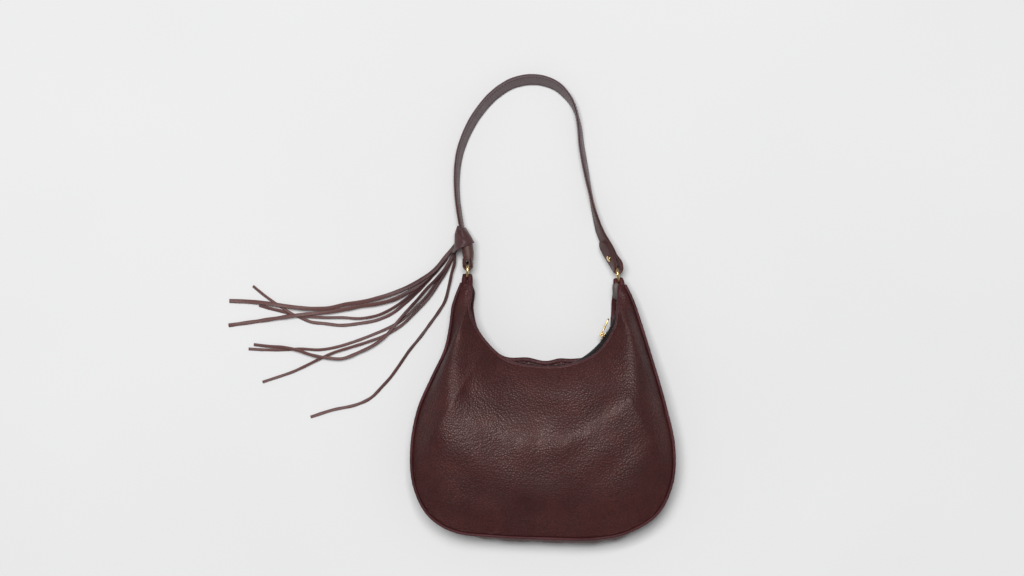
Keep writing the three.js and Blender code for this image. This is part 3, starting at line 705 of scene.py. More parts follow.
def ring(name, centre, turn, material):
    """Cast ring whose wire swells slightly where it was joined."""
    a = circle_turns(96)[:, None]
    b = circle_turns(22)
    wire = WIRE_RADIUS * (1 + 0.05 * hump(a, 1.2, 0.12))
    r = RING_RADIUS + wire * np.cos(b)
    points = np.stack([wire * np.sin(b), r * np.cos(a), r * np.sin(a)], -1)
    wire_loop = placed(loft(points, closed=True), turn, np.array([*centre, MID_Z]))
    make_mesh(f"{name}_wire", wire_loop, material, name, [name])


LOOP_FOLD = 0.42              # share of the strip that is bent round the wire
LOOP_LEG = 17.0


def horn_loop(name, centre, turn, material):
    """Leather folded round the ring's wire, following its curve; both ends run down into the horn."""
    arc = np.radians(np.linspace(-50, 50, 34))
    round_ring, along = np.meshgrid(arc, np.linspace(-1, 1, 81), indexing="ij")
    bend = np.clip(np.abs(along) / LOOP_FOLD, 0, 1) * math.pi / 2
    leg = np.clip((np.abs(along) - LOOP_FOLD) / (1 - LOOP_FOLD), 0, 1)

    def surface(half_wide, rise, squareness, foot):
        x = np.sign(along) * mix(half_wide * np.sin(bend) ** squareness, foot, ramp(0, 0.3, leg))
        near = RING_RADIUS - rise * np.abs(np.cos(bend)) ** squareness
        y = mix(-near * np.cos(round_ring), -RING_RADIUS - LOOP_LEG * leg, ramp(0, 0.5, leg))
        z = near * np.sin(round_ring) * mix(1.0, 0.62, ramp(0, 0.6, leg))
        return np.stack([x, y, z], axis=-1)

    soft = 0.25 * ripple(np.stack([along * 14, round_ring * 9], axis=-1), 8, 121)
    outer = surface(5.6 + soft, 4.2 + soft * 0.5, 0.62, 6.3)
    inner = surface(1.8, 1.8, 1.0, 0.25)
    strip = placed(shell(outer, inner), turn, np.array([*centre, MID_Z]))
    make_mesh(f"{name}_strip", strip, material, "bag", [name])


# ---- strap ----
STRAP_SPINE = [
    (-84.9, 204.4, 1), (-88, 230, 4), (-93.5, 258, 8), (-98, 290, 9), (-98, 320, 14), (-94, 343, 19),
    (-85, 366, 23), (-73, 386, 26), (-55, 406, 29), (-33, 419.5, 31), (-8, 423, 31), (14, 416.5, 26),
    (29, 402.5, 15), (37, 388, 2), (41.5, 370, -7), (44, 348, -12), (48.5, 322, -12), (53.5, 296, -4),
    (58.5, 272, 6), (66, 247, 21), (76, 227.5, 29), (83, 213.5, 20), (86.9, 200.3, 0),
]
SPINE = Spline([p[:2] for p in STRAP_SPINE], [p[2] for p in STRAP_SPINE])


def strap_frame(distance, lateral=0.0):
    """Centre, width direction and outward direction of the band at a distance along its spine."""
    distance = np.asarray(distance, float)
    point, tangent = SPINE.at(distance)
    lean = np.radians(SPINE.read(SPINE.extra, np.clip(distance, 0, SPINE.length))[..., 0])
    side = np.stack([-tangent[..., 1], tangent[..., 0]], axis=-1)
    across = with_z(side * np.sin(lean)[..., None], np.cos(lean))
    out = with_z(side * np.cos(lean)[..., None], -np.sin(lean))
    from_end = np.minimum(distance, SPINE.length - distance)
    resting = STRAP_WIDTH / 2 * np.cos(lean) + STRAP_THICK / 2 * np.abs(np.sin(lean)) + 0.4
    z = mix(MID_Z, resting, ramp(14, 95, from_end))
    return with_z(point, z) + out * np.asarray(lateral)[..., None], across, out


TAB_LENGTH, TAB_OFFSET = 43.0, -3.9
FOLD_CENTRE, FOLD_RADIUS = 5.6, 3.8


def strap_path():
    """Stations of the band (distance, lateral): tab, round the ring, along the spine, ring, tab."""
    turn = np.linspace(math.pi, 2 * math.pi, 9)
    fold = np.column_stack([FOLD_CENTRE + FOLD_RADIUS * np.sin(turn), FOLD_RADIUS * np.cos(turn)])
    tab = [(TAB_LENGTH, TAB_OFFSET), (34, TAB_OFFSET), (26, TAB_OFFSET), (19, TAB_OFFSET), (12, -4.0)]
    rise = [(12, 3.3), (17.5, 1.2), (21.5, 0), (28, 0)]
    first = np.vstack([tab, fold, rise])
    count = round((SPINE.length - 56) / 12)
    run = np.column_stack([np.linspace(28, SPINE.length - 28, count + 1)[1:-1], np.zeros(count - 1)])
    last = first[::-1] * [-1, 1] + [SPINE.length, 0]
    return np.vstack([first, run, last])


def band_path():
    """Smooth copy of strap_path with a short step, and each point's place in the station list."""
    stations = strap_path()
    curve = Spline(stations, np.arange(len(stations)))
    pieces = np.linspace(0, curve.length, 760)
    return curve.read(curve.points, pieces), curve.read(curve.extra, pieces)[:, 0], len(stations)


def band_half(order, count):
    """Half width: narrow where the band passes through a ring, keyhole-round at the tab's end."""
    along = np.minimum(order, count - 1 - order)
    away = np.abs(along - 9)
    wide = STRAP_WIDTH / 2
    waist = mix(LOOP_WIDTH / 2 - 0.2, wide, ramp(2.0, 6.0, away))
    tip = np.clip(1 - along / 0.95, 0, 1)
    return waist * np.sqrt(np.clip(1 - tip ** 2, 0.03, 1))


class Band:
    """Points, directions and half widths along the strap's whole folded band."""

    def __init__(self):
        path, order, count = band_path()
        self.point, self.across, _ = strap_frame(path[:, 0], path[:, 1])
        self.half = band_half(order, count)
        self.tangent = unit(np.gradient(self.point, axis=0))
        self.normal = unit(np.cross(self.tangent, self.across))
        lengths = np.linalg.norm(np.diff(self.point, axis=0), axis=1)
        self.marks = np.concatenate([[0], np.cumsum(lengths)])

    def layer(self, low, high, crown, seed):
        """One leather layer from depth low to high, slightly padded, with rounded cut edges."""
        section = superellipse(1, 1, 32, 6.0)
        middle, thick = (low + high) / 2, abs(high - low) / 2
        face = np.sign(high)
        share = section[:, 1]
        outside = section[:, 0] * face > 0
        depth = middle + section[:, 0] * thick + np.where(outside, crown * (1 - share ** 2), 0) * face
        width = self.half[:, None] * share[None]
        places = np.stack(np.broadcast_arrays(self.marks[:, None], width * 2), -1)
        lift = depth + 0.12 * ripple(places, 13, seed) * outside * face
        return loft(self.point[:, None] + self.normal[:, None] * lift[..., None]
                    + self.across[:, None] * width[..., None])

    def read(self, table, mark):
        return np.stack([np.interp(mark, self.marks, table[:, k]) for k in range(3)], -1)

    def at(self, mark):
        directions = [unit(self.read(table, mark)) for table in (self.across, self.normal, self.tangent)]
        return self.read(self.point, mark), *directions, np.interp(mark, self.marks, self.half)


def strap(outer_leather, inner_leather, thread):
    """Two leather layers and the stitches along both edges of both faces."""
    band = Band()
    depth = LAYER_GAP / 2
    surface = STRAP_THICK / 2
    make_mesh("strap_outer_leather", band.layer(-depth, -surface, 0.35, 91), outer_leather, "strap",
              ["strap_outer"])
    make_mesh("strap_lining_leather", band.layer(depth, surface, 0.1, 92), inner_leather, "strap",
              ["strap_lining"])
    point, across, normal, tangent, half = band.at(np.arange(7, band.marks[-1] - 7, 3.6))
    rows = []
    for face in (-1, 1):
        for edge in (-1, 1):
            reach = (half - 2.1) * edge
            places = point + across * reach[:, None] + normal * face * (surface + 0.02)
            rows.append(stitches(places, tangent, normal * face, 2.5, 0.5, 0.16))
    make_mesh("strap_thread", merge(rows), thread, "strap", ())


def lathe(profile, sides=40):
    """Solid of revolution about +Y from (radius, height) pairs."""
    turn = circle_turns(sides)
    rings = [np.column_stack([r * np.cos(turn), np.full(sides, y), r * np.sin(turn)]) for r, y in profile]
    return loft(np.array(rings))


# Rivet from its back plate to its domed cap: radius, height above the band's middle.
RIVET_BACK = [(0.3, -3.9), (2.6, -3.9), (3.1, -3.5), (3.1, -3.1), (1.2, -3.0),
              (1.2, 6.0), (3.4, 6.0), (3.6, 6.15)]
RIVET_DOME = [(3.6 * math.cos(a), 6.3 + 1.2 * math.sin(a)) for a in np.linspace(0, 1.45, 9)]


def strap_rivet(side, distance, material):
    point, across, out = strap_frame(distance)
    points, faces = lathe(RIVET_BACK + RIVET_DOME)
    basis = np.stack([np.cross(across, -out), -out, across])
    name = f"strap_rivet_{side}"
    make_mesh(f"{name}_stud", (points @ basis + point, faces), material, "strap", [name])


# ---- tassel knot ----
# Outline of the wrapped cone seen from above: y, left edge, right edge, half height.
KNOT_OUTLINE = np.array([
    (222.0, -104.0, -95.5, 10.5), (226.0, -103.6, -91.0, 11.2), (231.0, -102.6, -83.5, 12.0),
    (236.0, -101.4, -76.8, 12.6), (239.0, -100.9, -78.6, 12.8), (246.0, -100.2, -83.4, 12.4),
    (252.0, -98.0, -87.4, 11.8), (256.0, -96.4, -90.2, 11.0),
])


def knot_height(y):
    """Height of the strap's middle beside a point of the knot."""
    return strap_frame(y - STRAP_SPINE[0][1])[0][..., 2]


def knot_surface(y, turn, grow):
    """Point on the cone; turn 0 faces left and a quarter turn faces up."""
    left, right, high = [np.interp(y, KNOT_OUTLINE[:, 0], KNOT_OUTLINE[:, k]) for k in (1, 2, 3)]
    x = (left + right) / 2 - ((right - left) / 2 + grow) * np.cos(turn)
    z = knot_height(y) + (high + grow) * np.sin(turn)
    return np.stack([x, y, z], axis=-1)


def knot_cone(material):
    """One wide wrap of leather, longest at the lower left where the laces come out."""
    share, turn = np.meshgrid(np.linspace(0, 1, 70), circle_turns(220), indexing="ij")
    low = 230.8 - 6.2 * np.cos(turn) - 1.2 * np.sin(turn)
    top = 254.6 + 1.2 * np.cos(turn + 0.6)
    y = mix(low, top, share)
    wound = np.mod(2.0 * turn / (2 * math.pi) + (y - 225) / 34, 1.0)
    ledge = 2.2 * wound * ramp(1.0, 0.955, wound)
    crease = 0.6 * ripple(np.stack([y * 0.5, np.cos(turn) * 9, np.sin(turn) * 9], axis=-1), 9, 111)
    hem = 0.5 * hump(share, 0.04, 0.05)
    outer = knot_surface(y, turn, ledge - 1.3 + crease + hem)
    inner = knot_surface(y, turn, -2.6)
    wrap = loft(np.concatenate([outer, inner[::-1]], axis=0), closed=True)
    make_mesh("tassel_knot_wrap", wrap, material, "strap", ["tassel_knot"])


SLEEVE_WALL, SLEEVE_PLEATS = 1.1, 8.0


def knot_core(material):
    """Pleated sleeve that shows below the cone and covers the folded strap end."""
    share, turn = np.meshgrid(np.linspace(0, 1, 40), circle_turns(160), indexing="ij")
    centre, across, out = strap_frame(mix(13.0 + 1.6 * np.cos(turn * 2 + 1.0), 37.0, share), -1.8)
    pleat = np.mod(SLEEVE_PLEATS * turn / (2 * math.pi) + share * 0.25, 1.0)
    ledge = 1.2 * pleat * ramp(1.0, 0.93, pleat)
    wide = mix(4.7, 5.7, ramp(0, 0.25, share)) + ledge
    high = 9.9 + ledge * 0.4

    def skin(less):
        sideways = out * ((wide - less) * np.sign(np.cos(turn)) * np.abs(np.cos(turn)) ** 0.8)[..., None]
        upright = across * ((high - less) * np.sign(np.sin(turn)) * np.abs(np.sin(turn)) ** 0.8)[..., None]
        return centre + sideways + upright

    sleeve = loft(np.concatenate([skin(0.0), skin(SLEEVE_WALL)[::-1]], axis=0), closed=True)
    make_mesh("tassel_knot_sleeve", sleeve, material, "strap", ())


# ---- fringe: routes from the knot to each lace's free end, in millimetres ----
STRAND_ROUTES = {
    "a": [(-103, 230, 10.5), (-113, 218, 10.5), (-124, 205, 10), (-138, 195, 9.5), (-152, 187, 9),
          (-168, 180, 8.6), (-186, 174, 8.6), (-206, 169, 8.6), (-226, 166, 8.6), (-243, 162, 8.6),
          (-260, 161, 8.6), (-277, 162, 8.6), (-294, 164, 7), (-314, 167, 6), (-334, 169, 3),
          (-359, 170, 1.3)],
    "b": [(-103, 230, 8), (-114, 215, 7.5), (-127, 202, 7), (-140, 189, 6.5), (-154, 180, 6.2),
          (-170, 172, 6.2), (-188, 167, 6.2), (-209, 164, 6.2), (-229, 160, 6.2), (-249, 157, 6.2),
          (-268, 155, 6.2), (-286, 153, 6.2), (-306, 150, 4.5), (-332, 146, 2), (-360, 142, 1.3)],
    "c": [(-103, 230, 5.5), (-115, 213, 5), (-129, 198, 4.5), (-142, 185, 4), (-156, 173, 3.8),
          (-170, 163, 3.8), (-188, 154, 3.8), (-209, 150, 3.8), (-229, 151, 3.8), (-249, 151, 3.8),
          (-268, 152, 3.8), (-282, 153, 3.8), (-295, 160, 3.8), (-310, 170, 3.4), (-321, 178, 2),
          (-332, 187, 1.3)],
    "d": [(-103, 230, 3), (-116, 211, 2.2), (-130, 195, 1.5), (-144, 180, 1.3), (-157, 168, 1.3),
          (-172, 156, 1.3), (-190, 148, 1.3), (-211, 144, 1.3), (-231, 142, 1.3), (-250, 144, 1.3),
          (-266, 146, 1.3), (-280, 152, 1.3), (-295, 157, 1.3), (-311, 161, 1.3), (-325, 165, 1.3)],
    "e": [(-101, 225, 8), (-109, 211, 7.5), (-121, 196, 6.8), (-132, 185, 6.4), (-144, 171, 6.2),
          (-156, 158, 6.2), (-168, 144, 6.2), (-179, 131, 6.2), (-193, 120, 6.2), (-211, 111, 6.2),
          (-230, 104, 6.2), (-247, 105, 6.2), (-264, 108, 6.2), (-282, 114, 6), (-298, 117, 4),
          (-314, 118, 2), (-331, 120, 1.3)],
    "f": [(-101, 225, 3), (-111, 209, 2.4), (-121, 192, 1.8), (-131, 178, 1.3), (-145, 163, 1.3),
          (-160, 149, 1.3), (-177, 139, 1.3), (-193, 132, 1.3), (-214, 124, 1.3), (-237, 117, 1.3),
          (-256, 114, 1.3), (-277, 115, 1.3), (-296, 114, 1.3), (-317, 114, 1.3), (-337, 115, 1.3)],
    "g": [(-101, 225, 5.5), (-109, 207, 4.8), (-120, 189, 4.2), (-131, 173, 3.8), (-146, 157, 3.8),
          (-162, 142, 3.8), (-180, 131, 3.8), (-201, 123, 3.8), (-220, 117, 3.8), (-239, 111, 3.8),
          (-257, 103, 3.8), (-271, 96, 3), (-286, 89, 2), (-297, 85, 1.5), (-321, 77, 1.3)],
    "h": [(-101, 225, 10.5), (-101, 214, 8.5), (-104, 203, 6.5), (-107, 189, 4.5), (-112, 170, 2.8),
          (-119, 158, 2), (-129, 144, 1.4), (-140, 129, 1.3), (-153, 113, 1.3), (-164, 97, 1.3),
          (-174, 83, 1.3), (-183, 73, 1.3), (-197, 59, 1.3), (-214, 51, 1.3), (-241, 45, 1.3),
          (-266, 37, 1.3)],
}
# Width of each lace and its greatest tilt from flat in degrees.
STRAND_SIZES = {
    "a": (4.6, 14), "b": (4.2, 12), "c": (3, 16), "d": (3.6, 10),
    "e": (3.4, 14), "f": (3.2, 10), "g": (3, 14), "h": (3.4, 12),
}
STRAND_THICK = 1.6
HIDDEN_START = 9.0            # each lace starts this far inside the knot
FLOOR_CLEAR = 0.1


def strand(letter, material, phase):
    """Flat lace with soft cut edges, rolling a little from side to side as it lies."""
    width, tilt = STRAND_SIZES[letter]
    curve = Spline(STRAND_ROUTES[letter])
    marks = np.linspace(-HIDDEN_START, curve.length, 230)
    centres, tangent = curve.at(marks)
    side = unit(np.cross(np.array([0, 0, 1.0]), tangent))
    top = np.cross(tangent, side)
    share = marks / curve.length
    roll = np.radians(tilt) * np.sin(share * 9 + phase) * np.clip(share * 8, 0, 1)
    across = side * np.cos(roll)[:, None] + top * np.sin(roll)[:, None]
    normal = top * np.cos(roll)[:, None] - side * np.sin(roll)[:, None]
    section = superellipse(1.0, 1.0, 18, 4.5)
    wide = width / 2 * (1 + 0.06 * ripple(marks[:, None], 17, int(phase * 10) + 7))
    rings = (centres[:, None] + across[:, None] * section[:, 0][None, :, None] * wide[:, None, None]
             + normal[:, None] * (section[:, 1] * STRAND_THICK / 2)[None, :, None])
    rings[..., 2] = np.maximum(rings[..., 2], FLOOR_CLEAR)
    piece = make_mesh(f"fringe_lace_{letter}", loft(rings), material, "fringe", [f"fringe_strand_{letter}"])


# ---- materials ----
class Material:
    """Short way to build a node material: a Principled surface with named nodes wired to it."""

    def __init__(self, name, **settings):
        self.material = bpy.data.materials.new(name)
        self.material.use_nodes = True
        self.tree = self.material.node_tree
        self.surface = self.tree.nodes["Principled BSDF"]
        for key, value in settings.items():
            self.surface.inputs[key.replace("_", " ")].default_value = value
        self.coords = self.tree.nodes.new("ShaderNodeTexCoord").outputs["Object"]

    def node(self, kind, properties=None, **inputs):
        made = self.tree.nodes.new(kind)
        for key, value in (properties or {}).items():
            setattr(made, key, value)
        for key, value in inputs.items():
            socket = made.inputs[int(key[1:])] if key[1:].isdigit() else made.inputs[key.replace("_", " ")]
            if hasattr(value, "is_output"):
                self.tree.links.new(value, socket)
            else:
                socket.default_value = value
        return made

    def noise(self, scale, detail=3.0, roughness=0.55):
        made = self.node("ShaderNodeTexNoise", Vector=self.coords, Scale=scale, Detail=detail,
                         Roughness=roughness)
        return made.outputs["Fac"]

    def warped(self, scale, amount):
        """Object coordinates pushed about by noise, so cells and threads aren't regular."""
        noise = self.node("ShaderNodeTexNoise", Vector=self.coords, Scale=scale, Detail=2.0).outputs["Color"]
        centred = self.node("ShaderNodeVectorMath", {"operation": "SUBTRACT"}, _0=noise, _1=(0.5, 0.5, 0.5))
        push = self.node("ShaderNodeVectorMath", {"operation": "SCALE"}, _0=centred.outputs[0], Scale=amount)
        return self.node("ShaderNodeVectorMath", {"operation": "ADD"}, _0=self.coords,
                         _1=push.outputs[0]).outputs[0]

    def voronoi(self, scale, vector, feature="F1"):
        made = self.node("ShaderNodeTexVoronoi", {"feature": feature}, Vector=vector, Scale=scale)
        return made.outputs["Distance"]

    def wave(self, direction, vector, scale, distortion=0.0):
        made = self.node("ShaderNodeTexWave", {"bands_direction": direction}, Vector=vector, Scale=scale,
                         Distortion=distortion)
        return made.outputs["Fac"]

    def remap(self, value, low, high, to_low=0.0, to_high=1.0):
        made = self.node("ShaderNodeMapRange", {"interpolation_type": "SMOOTHSTEP"}, Value=value)
        for name, number in (("From Min", low), ("From Max", high), ("To Min", to_low), ("To Max", to_high)):
            made.inputs[name].default_value = number
        return made.outputs["Result"]

    def math(self, operation, a, b=0.0):
        return self.node("ShaderNodeMath", {"operation": operation}, _0=a, _1=b).outputs[0]

    def blend(self, factor, first, second):
        made = self.node("ShaderNodeMix", {"data_type": "RGBA"})
        for socket, value in ((made.inputs[0], factor), (made.inputs[6], first), (made.inputs[7], second)):
            if hasattr(value, "is_output"):
                self.tree.links.new(value, socket)
            else:
                socket.default_value = (*value, 1.0)
        return made.outputs[2]

    def link(self, output, socket):
        self.tree.links.new(output, self.surface.inputs[socket])

    def bump(self, layers):
        """Stack of (height, distance in metres) bumps, each on top of the one before."""
        normal = None
        for height, distance in layers:
            made = self.node("ShaderNodeBump", Height=height, Strength=1.0, Distance=distance)
            if normal is not None:
                self.tree.links.new(normal, made.inputs["Normal"])
            normal = made.outputs["Normal"]
        self.link(normal, "Normal")


def scaled(colour, factor):
    return [min(1, c * factor) for c in colour]


def pebbled_leather(name, dark, body, light, cell, depth, roughness):
    """Tumbled leather: round pebbles of uneven size, painted shade darkening the creases between them, worn
    crowns paler.
    """
    m = Material(name, Specular_IOR_Level=0.5, Specular_Tint=(1.0, 0.82, 0.78, 1.0))
    spread = m.warped(260.0, 0.0009)
    pebble = m.voronoi(1 / cell, spread)
    crease = m.remap(m.voronoi(1 / cell, spread, "DISTANCE_TO_EDGE"), 0.0, 0.16)
    fine = m.voronoi(3.1 / cell, spread, "DISTANCE_TO_EDGE")
    tone = m.blend(m.remap(m.noise(14.0), 0.3, 0.72), dark, body)
    tone = m.blend(m.remap(m.noise(45.0, 4.0), 0.45, 0.75, 0.0, 0.55), tone, light)
    # painted shade: the creases between pebbles are darkened towards a deep copy of the dark tone
    m.link(m.blend(m.remap(crease, 0.0, 1.0, 0.6, 0.0), tone, scaled(dark, 0.38)), "Base Color")
    gloss = m.remap(m.noise(30.0), 0.25, 0.75, roughness - 0.06, roughness + 0.08)
    m.link(m.math("ADD", gloss, m.remap(crease, 0.0, 1.0, 0.14, 0.0)), "Roughness")
    m.bump([(m.noise(22.0, 2.0), depth * 0.5), (m.remap(pebble, 0.0, 0.75, 1.0, 0.0), depth),
            (crease, depth * 0.25), (m.remap(fine, 0.0, 0.12), depth * 0.05)])
    return m.material


def smooth_leather(name, dark, body, roughness, coat=0.1, level=0.3, far=None, painted_light_span=("Y", 0.24, 0.37)):
    """Smooth leather: fine pores darkened by painted shade, rubbed patches and, with far, painted light: a
    second tone towards one end of a span.
    """
    m = Material(name, Specular_IOR_Level=level, Coat_Weight=coat, Coat_Roughness=0.3)
    pores = m.voronoi(900.0, m.warped(60.0, 0.002), "DISTANCE_TO_EDGE")
    pits = m.noise(1530.0, 2.0)
    rubbed = m.noise(90.0, 5.0, 0.65)
    tone = m.blend(m.remap(m.noise(24.0, 4.0), 0.32, 0.7), dark, body)
    # painted light: with far, the tone turns to far along an axis, as painted shade near the knot on the
    # laces and a painted grey sheen towards the crown on the strap
    if far:
        axis, near_end, far_end = painted_light_span
        place = m.node("ShaderNodeSeparateXYZ", Vector=m.coords).outputs[axis]
        tone = m.blend(m.remap(place, near_end, far_end), tone, far)
    tone = m.blend(m.remap(rubbed, 0.5, 0.85, 0.0, 0.4), tone, scaled(body, 1.7))
    # painted shade: the pores are darkened towards a deep copy of the dark tone
    m.link(m.blend(m.remap(pores, 0.0, 0.1, 0.35, 0.0), tone, scaled(dark, 0.5)), "Base Color")
    m.link(m.remap(rubbed, 0.2, 0.8, roughness - 0.08, roughness + 0.1), "Roughness")
    m.bump([(m.noise(70.0), 0.0005), (m.remap(pores, 0.0, 0.14), 0.00008), (pits, 0.00005)])
    return m.material


TARNISH = (0.86, 0.78, 0.6)


def gold(name, colour, roughness):
    """Plated brass: near-mirror with faint tarnish and small scuffs."""
    m = Material(name, Metallic=1.0)
    tarnish = m.noise(120.0, 4.0)
    scuff = m.noise(1400.0, 3.0, 0.7)
    dull = [c * k for c, k in zip(colour, TARNISH)]
    m.link(m.blend(m.remap(tarnish, 0.35, 0.75, 0.0, 0.6), colour, dull), "Base Color")
    m.link(m.remap(scuff, 0.3, 0.7, roughness - 0.06, roughness + 0.09), "Roughness")
    m.bump([(tarnish, 0.00002), (scuff, 0.000008)])
    return m.material


def woven(name, dark, light, pitch, roughness=0.85, sheen=0.25):
    """Woven cloth: warp and weft threads in a twill, with fuzz and uneven dye."""
    m = Material(name, Specular_IOR_Level=0.15, Sheen_Weight=sheen, Sheen_Roughness=0.5)
    spread = m.warped(220.0, 0.0006)
    warp = m.wave("DIAGONAL", spread, 0.31 / pitch, 0.6)
    weft = m.wave("Z", spread, 0.31 / pitch, 0.8)
    thread = m.math("MULTIPLY", warp, m.math("ADD", weft, 0.6))
    cloud = m.noise(40.0, 4.0)
    tone = m.blend(m.remap(thread, 0.1, 1.1), dark, light)
    m.link(m.blend(m.remap(cloud, 0.4, 0.8, 0.0, 0.4), tone, dark), "Base Color")
    m.link(m.remap(cloud, 0.2, 0.8, roughness - 0.06, roughness + 0.08), "Roughness")
    m.bump([(cloud, 0.0004), (thread, 0.00015)])
    return m.material


def thread_material(name, colour):
    """Twisted polyester thread."""
    m = Material(name, Roughness=0.55, Sheen_Weight=0.3)
    twist = m.wave("DIAGONAL", m.coords, 900.0)
    tone = m.blend(twist, scaled(colour, 0.6), colour)
    m.link(m.blend(m.remap(m.noise(200.0), 0.3, 0.7), tone, scaled(colour, 1.3)), "Base Color")
    m.bump([(twist, 0.0001)])
    return m.material


def plastic_coil(name, colour):
    """Nylon zip coil: satin monofilament with dust in its hollows."""
    m = Material(name, Specular_IOR_Level=0.2)
    dust = m.noise(800.0)
    m.link(m.blend(m.remap(m.noise(90.0), 0.3, 0.7), colour, scaled(colour, 1.8)), "Base Color")
    m.link(m.remap(dust, 0.3, 0.7, 0.28, 0.48), "Roughness")
    m.bump([(dust, 0.00004)])
    return m.material


def paper_floor(name):
    m = Material(name, Roughness=0.9, Specular_IOR_Level=0.2)
    m.link(m.blend(m.remap(m.noise(2.2), 0.3, 0.7), (0.86, 0.862, 0.866), (0.88, 0.882, 0.886)), "Base Color")
    m.bump([(m.noise(350.0, 4.0), 0.00006)])
    return m.material


# ---- stage ----
VIEW_CENTRE = Vector((-0.0353, 0.1847, 0.022))
CAMERA_HEIGHT = 4.0          # above the plane of the bag's middle
VIEW_WIDTH = 1.167           # metres across the picture on that plane
SENSOR = 36.0


def make_camera():
    data = bpy.data.cameras.new("camera")
    data.sensor_width = SENSOR
    data.lens = SENSOR * CAMERA_HEIGHT / VIEW_WIDTH
    data.clip_end = 20
    camera = bpy.data.objects.new("camera", data)
    camera.location = VIEW_CENTRE + Vector((0, 0, CAMERA_HEIGHT))
    bpy.context.scene.collection.objects.link(camera)
    bpy.context.scene.camera = camera


LIGHT_DISTANCE = 7.0
FLOOR_PALE = 0.87


def studio_light(name, tilt, turn, size, share):
    """Soft light at a tilt from straight up and a turn in plan; share is how bright it makes the floor."""
    target = Vector((VIEW_CENTRE.x, VIEW_CENTRE.y, 0))
    way = Vector(outward(turn) * math.sin(math.radians(tilt)))
    way.z = math.cos(math.radians(tilt))
    data = bpy.data.lights.new(name, "AREA")
    data.shape = "RECTANGLE"
    data.size, data.size_y = size
    data.energy = share / FLOOR_PALE * math.pi ** 2 * LIGHT_DISTANCE ** 2 / way.z
    lamp = bpy.data.objects.new(name, data)
    lamp.location = target + way * LIGHT_DISTANCE
    lamp.rotation_euler = (-way).to_track_quat("-Z", "Y").to_euler()
    bpy.context.scene.collection.objects.link(lamp)


WORLD_STRENGTH = 0.2
FLOOR_REACH, FLOOR_CELLS, FLOOR_LEVEL = 6.0, 8, -0.0004


def make_stage():
    scene = bpy.context.scene
    scene.view_settings.view_transform = "Standard"
    world = bpy.data.worlds.new("studio")
    world.use_nodes = True
    background = world.node_tree.nodes["Background"]
    background.inputs["Color"].default_value = (1.0, 1.0, 1.0, 1.0)
    background.inputs["Strength"].default_value = WORLD_STRENGTH
    scene.world = world
    studio_light("softbox", 12, 112, (3.4, 2.4), 0.70)
    mesh = bpy.data.meshes.new("floor")
    mesh.from_pydata(*floor_sheet())
    floor = bpy.data.objects.new("floor", mesh)
    mesh.materials.append(paper_floor("studio_paper"))
    scene.collection.objects.link(floor)


def floor_sheet():
    """Points, no edges and faces of a wide sheet just under the bag."""
    places = np.linspace(-FLOOR_REACH, FLOOR_REACH, FLOOR_CELLS + 1).tolist()
    points = [(x, y, FLOOR_LEVEL) for x in places for y in places]
    row = FLOOR_CELLS + 1
    corners = [i * row + j for i in range(FLOOR_CELLS) for j in range(FLOOR_CELLS)]
    return points, [], [(c, c + row, c + row + 1, c + 1) for c in corners]


# ---- the bag ----
OXBLOOD_DARK, OXBLOOD = (0.042, 0.0074, 0.0080), (0.060, 0.0108, 0.0103)
OXBLOOD_LIGHT = (0.078, 0.0158, 0.0140)
PEBBLE_SIZE, PEBBLE_DEPTH = 0.0025, 0.00024
BRASS = (0.83, 0.62, 0.30)
RIVET_FROM_END = 21.5


def build_cords():
    # painted shade: the laces are darkest near the knot and turn to the paler far tone further out
    lace = smooth_leather("lace_leather", (0.046, 0.013, 0.014), (0.100, 0.034, 0.033), 0.5,
                          far=(0.150, 0.066, 0.060), painted_light_span=("X", -0.13, -0.23))
    for index, letter in enumerate(STRAND_ROUTES):
        strand(letter, lace, 0.8 * index)


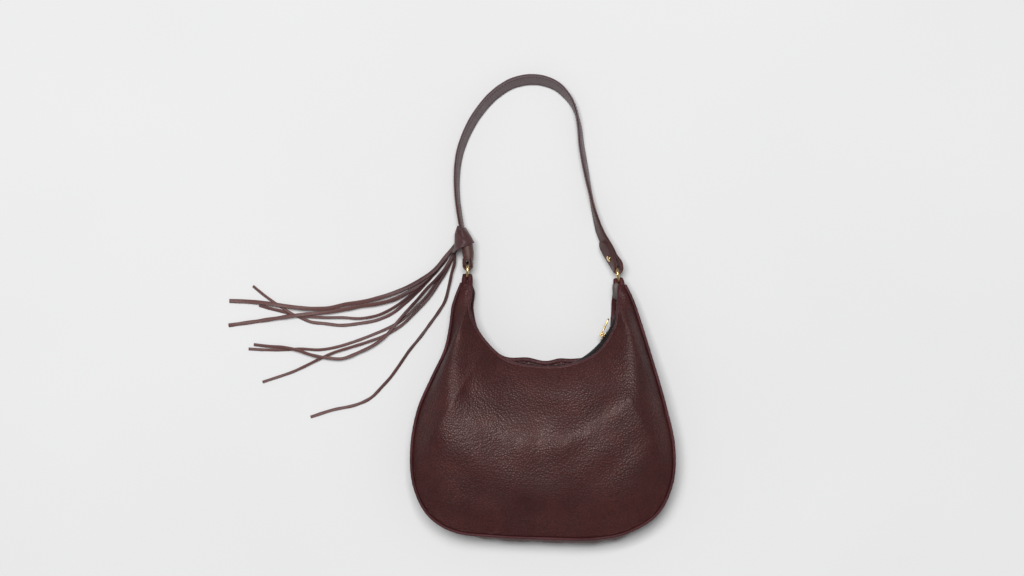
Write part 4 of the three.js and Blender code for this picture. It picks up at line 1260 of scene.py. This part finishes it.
def build_body():
    leather = pebbled_leather("oxblood_pebbled_leather", OXBLOOD_DARK, OXBLOOD, OXBLOOD_LIGHT, PEBBLE_SIZE,
                              PEBBLE_DEPTH, 0.42)
    trim = smooth_leather("oxblood_trim_leather", (0.056, 0.012, 0.014), (0.098, 0.027, 0.030), 0.42,
                          coat=0.0, level=0.22)
    thread = thread_material("oxblood_thread", (0.06, 0.018, 0.02))
    front_panel(leather)
    back_panel(leather)
    gusset("left", 0, 0.4999, leather)
    gusset("right", 0.5001, 1, leather)
    piping("front", seam_top, trim)
    piping("back", seam_low, trim)
    neck_binding("front", 1, trim, thread)
    neck_binding("back", -1, trim, thread)
    horn_loop("horn_loop_left", RING_LEFT, AXIS_ANGLE, trim)
    horn_loop("horn_loop_right", RING_RIGHT, AXIS_ANGLE + RING_RIGHT_TILT, trim)
    grey_tab = smooth_leather("zip_tab_leather", (0.10, 0.075, 0.075), (0.17, 0.14, 0.135), 0.5)
    end_tab("zip_end_tab_left", -170.5, -181, 2.6, 4.6, grey_tab)
    end_tab("zip_end_tab_right", -5.6, 9.4, 7.5, 8.2, grey_tab)
    cloth = woven("lining_twill", (0.20, 0.15, 0.11), (0.42, 0.34, 0.26), 0.0009)
    lining("front", cloth)
    lining("back", cloth)
    slip_pocket(cloth, thread_material("lining_thread", (0.5, 0.42, 0.33)))


def build_zip():
    tape = woven("zip_tape_weave", (0.006, 0.004, 0.004), (0.014, 0.009, 0.010), 0.0008, 0.85, 0.04)
    coil = plastic_coil("zip_coil_nylon", (0.007, 0.005, 0.005))
    brass = gold("zip_brass", BRASS, 0.34)
    for face, side in (("front", 1), ("back", -1)):
        zip_tape(face, side, tape)
        zip_teeth(face, side, coil)
    zip_stops(coil)
    zip_slider(brass)
    zip_pull(brass)


def build_strap():
    # painted sheen: far pales both strap layers to a grey tone towards the crown of the loop
    outer = smooth_leather("strap_outer_leather", (0.074, 0.024, 0.022), (0.135, 0.050, 0.046), 0.42,
                           far=(0.150, 0.098, 0.106))
    inner = smooth_leather("strap_inner_leather", (0.085, 0.036, 0.034), (0.155, 0.076, 0.072), 0.46,
                           far=(0.165, 0.118, 0.126))
    brass = gold("hardware_gold", BRASS, 0.2)
    strap(outer, inner, thread_material("strap_thread", (0.06, 0.03, 0.033)))
    strap_rivet("left", RIVET_FROM_END, brass)
    strap_rivet("right", SPINE.length - RIVET_FROM_END, brass)
    ring("ring_left", RING_LEFT, AXIS_ANGLE, brass)
    ring("ring_right", RING_RIGHT, AXIS_ANGLE + RING_RIGHT_TILT, brass)
    knot_cone(smooth_leather("knot_leather", (0.062, 0.022, 0.024), (0.120, 0.050, 0.052), 0.42))
    knot_core(smooth_leather("knot_sleeve_leather", (0.060, 0.022, 0.018), (0.115, 0.050, 0.042), 0.45))


make_camera()
build_cords()
build_body()
build_zip()
build_strap()
make_stage()
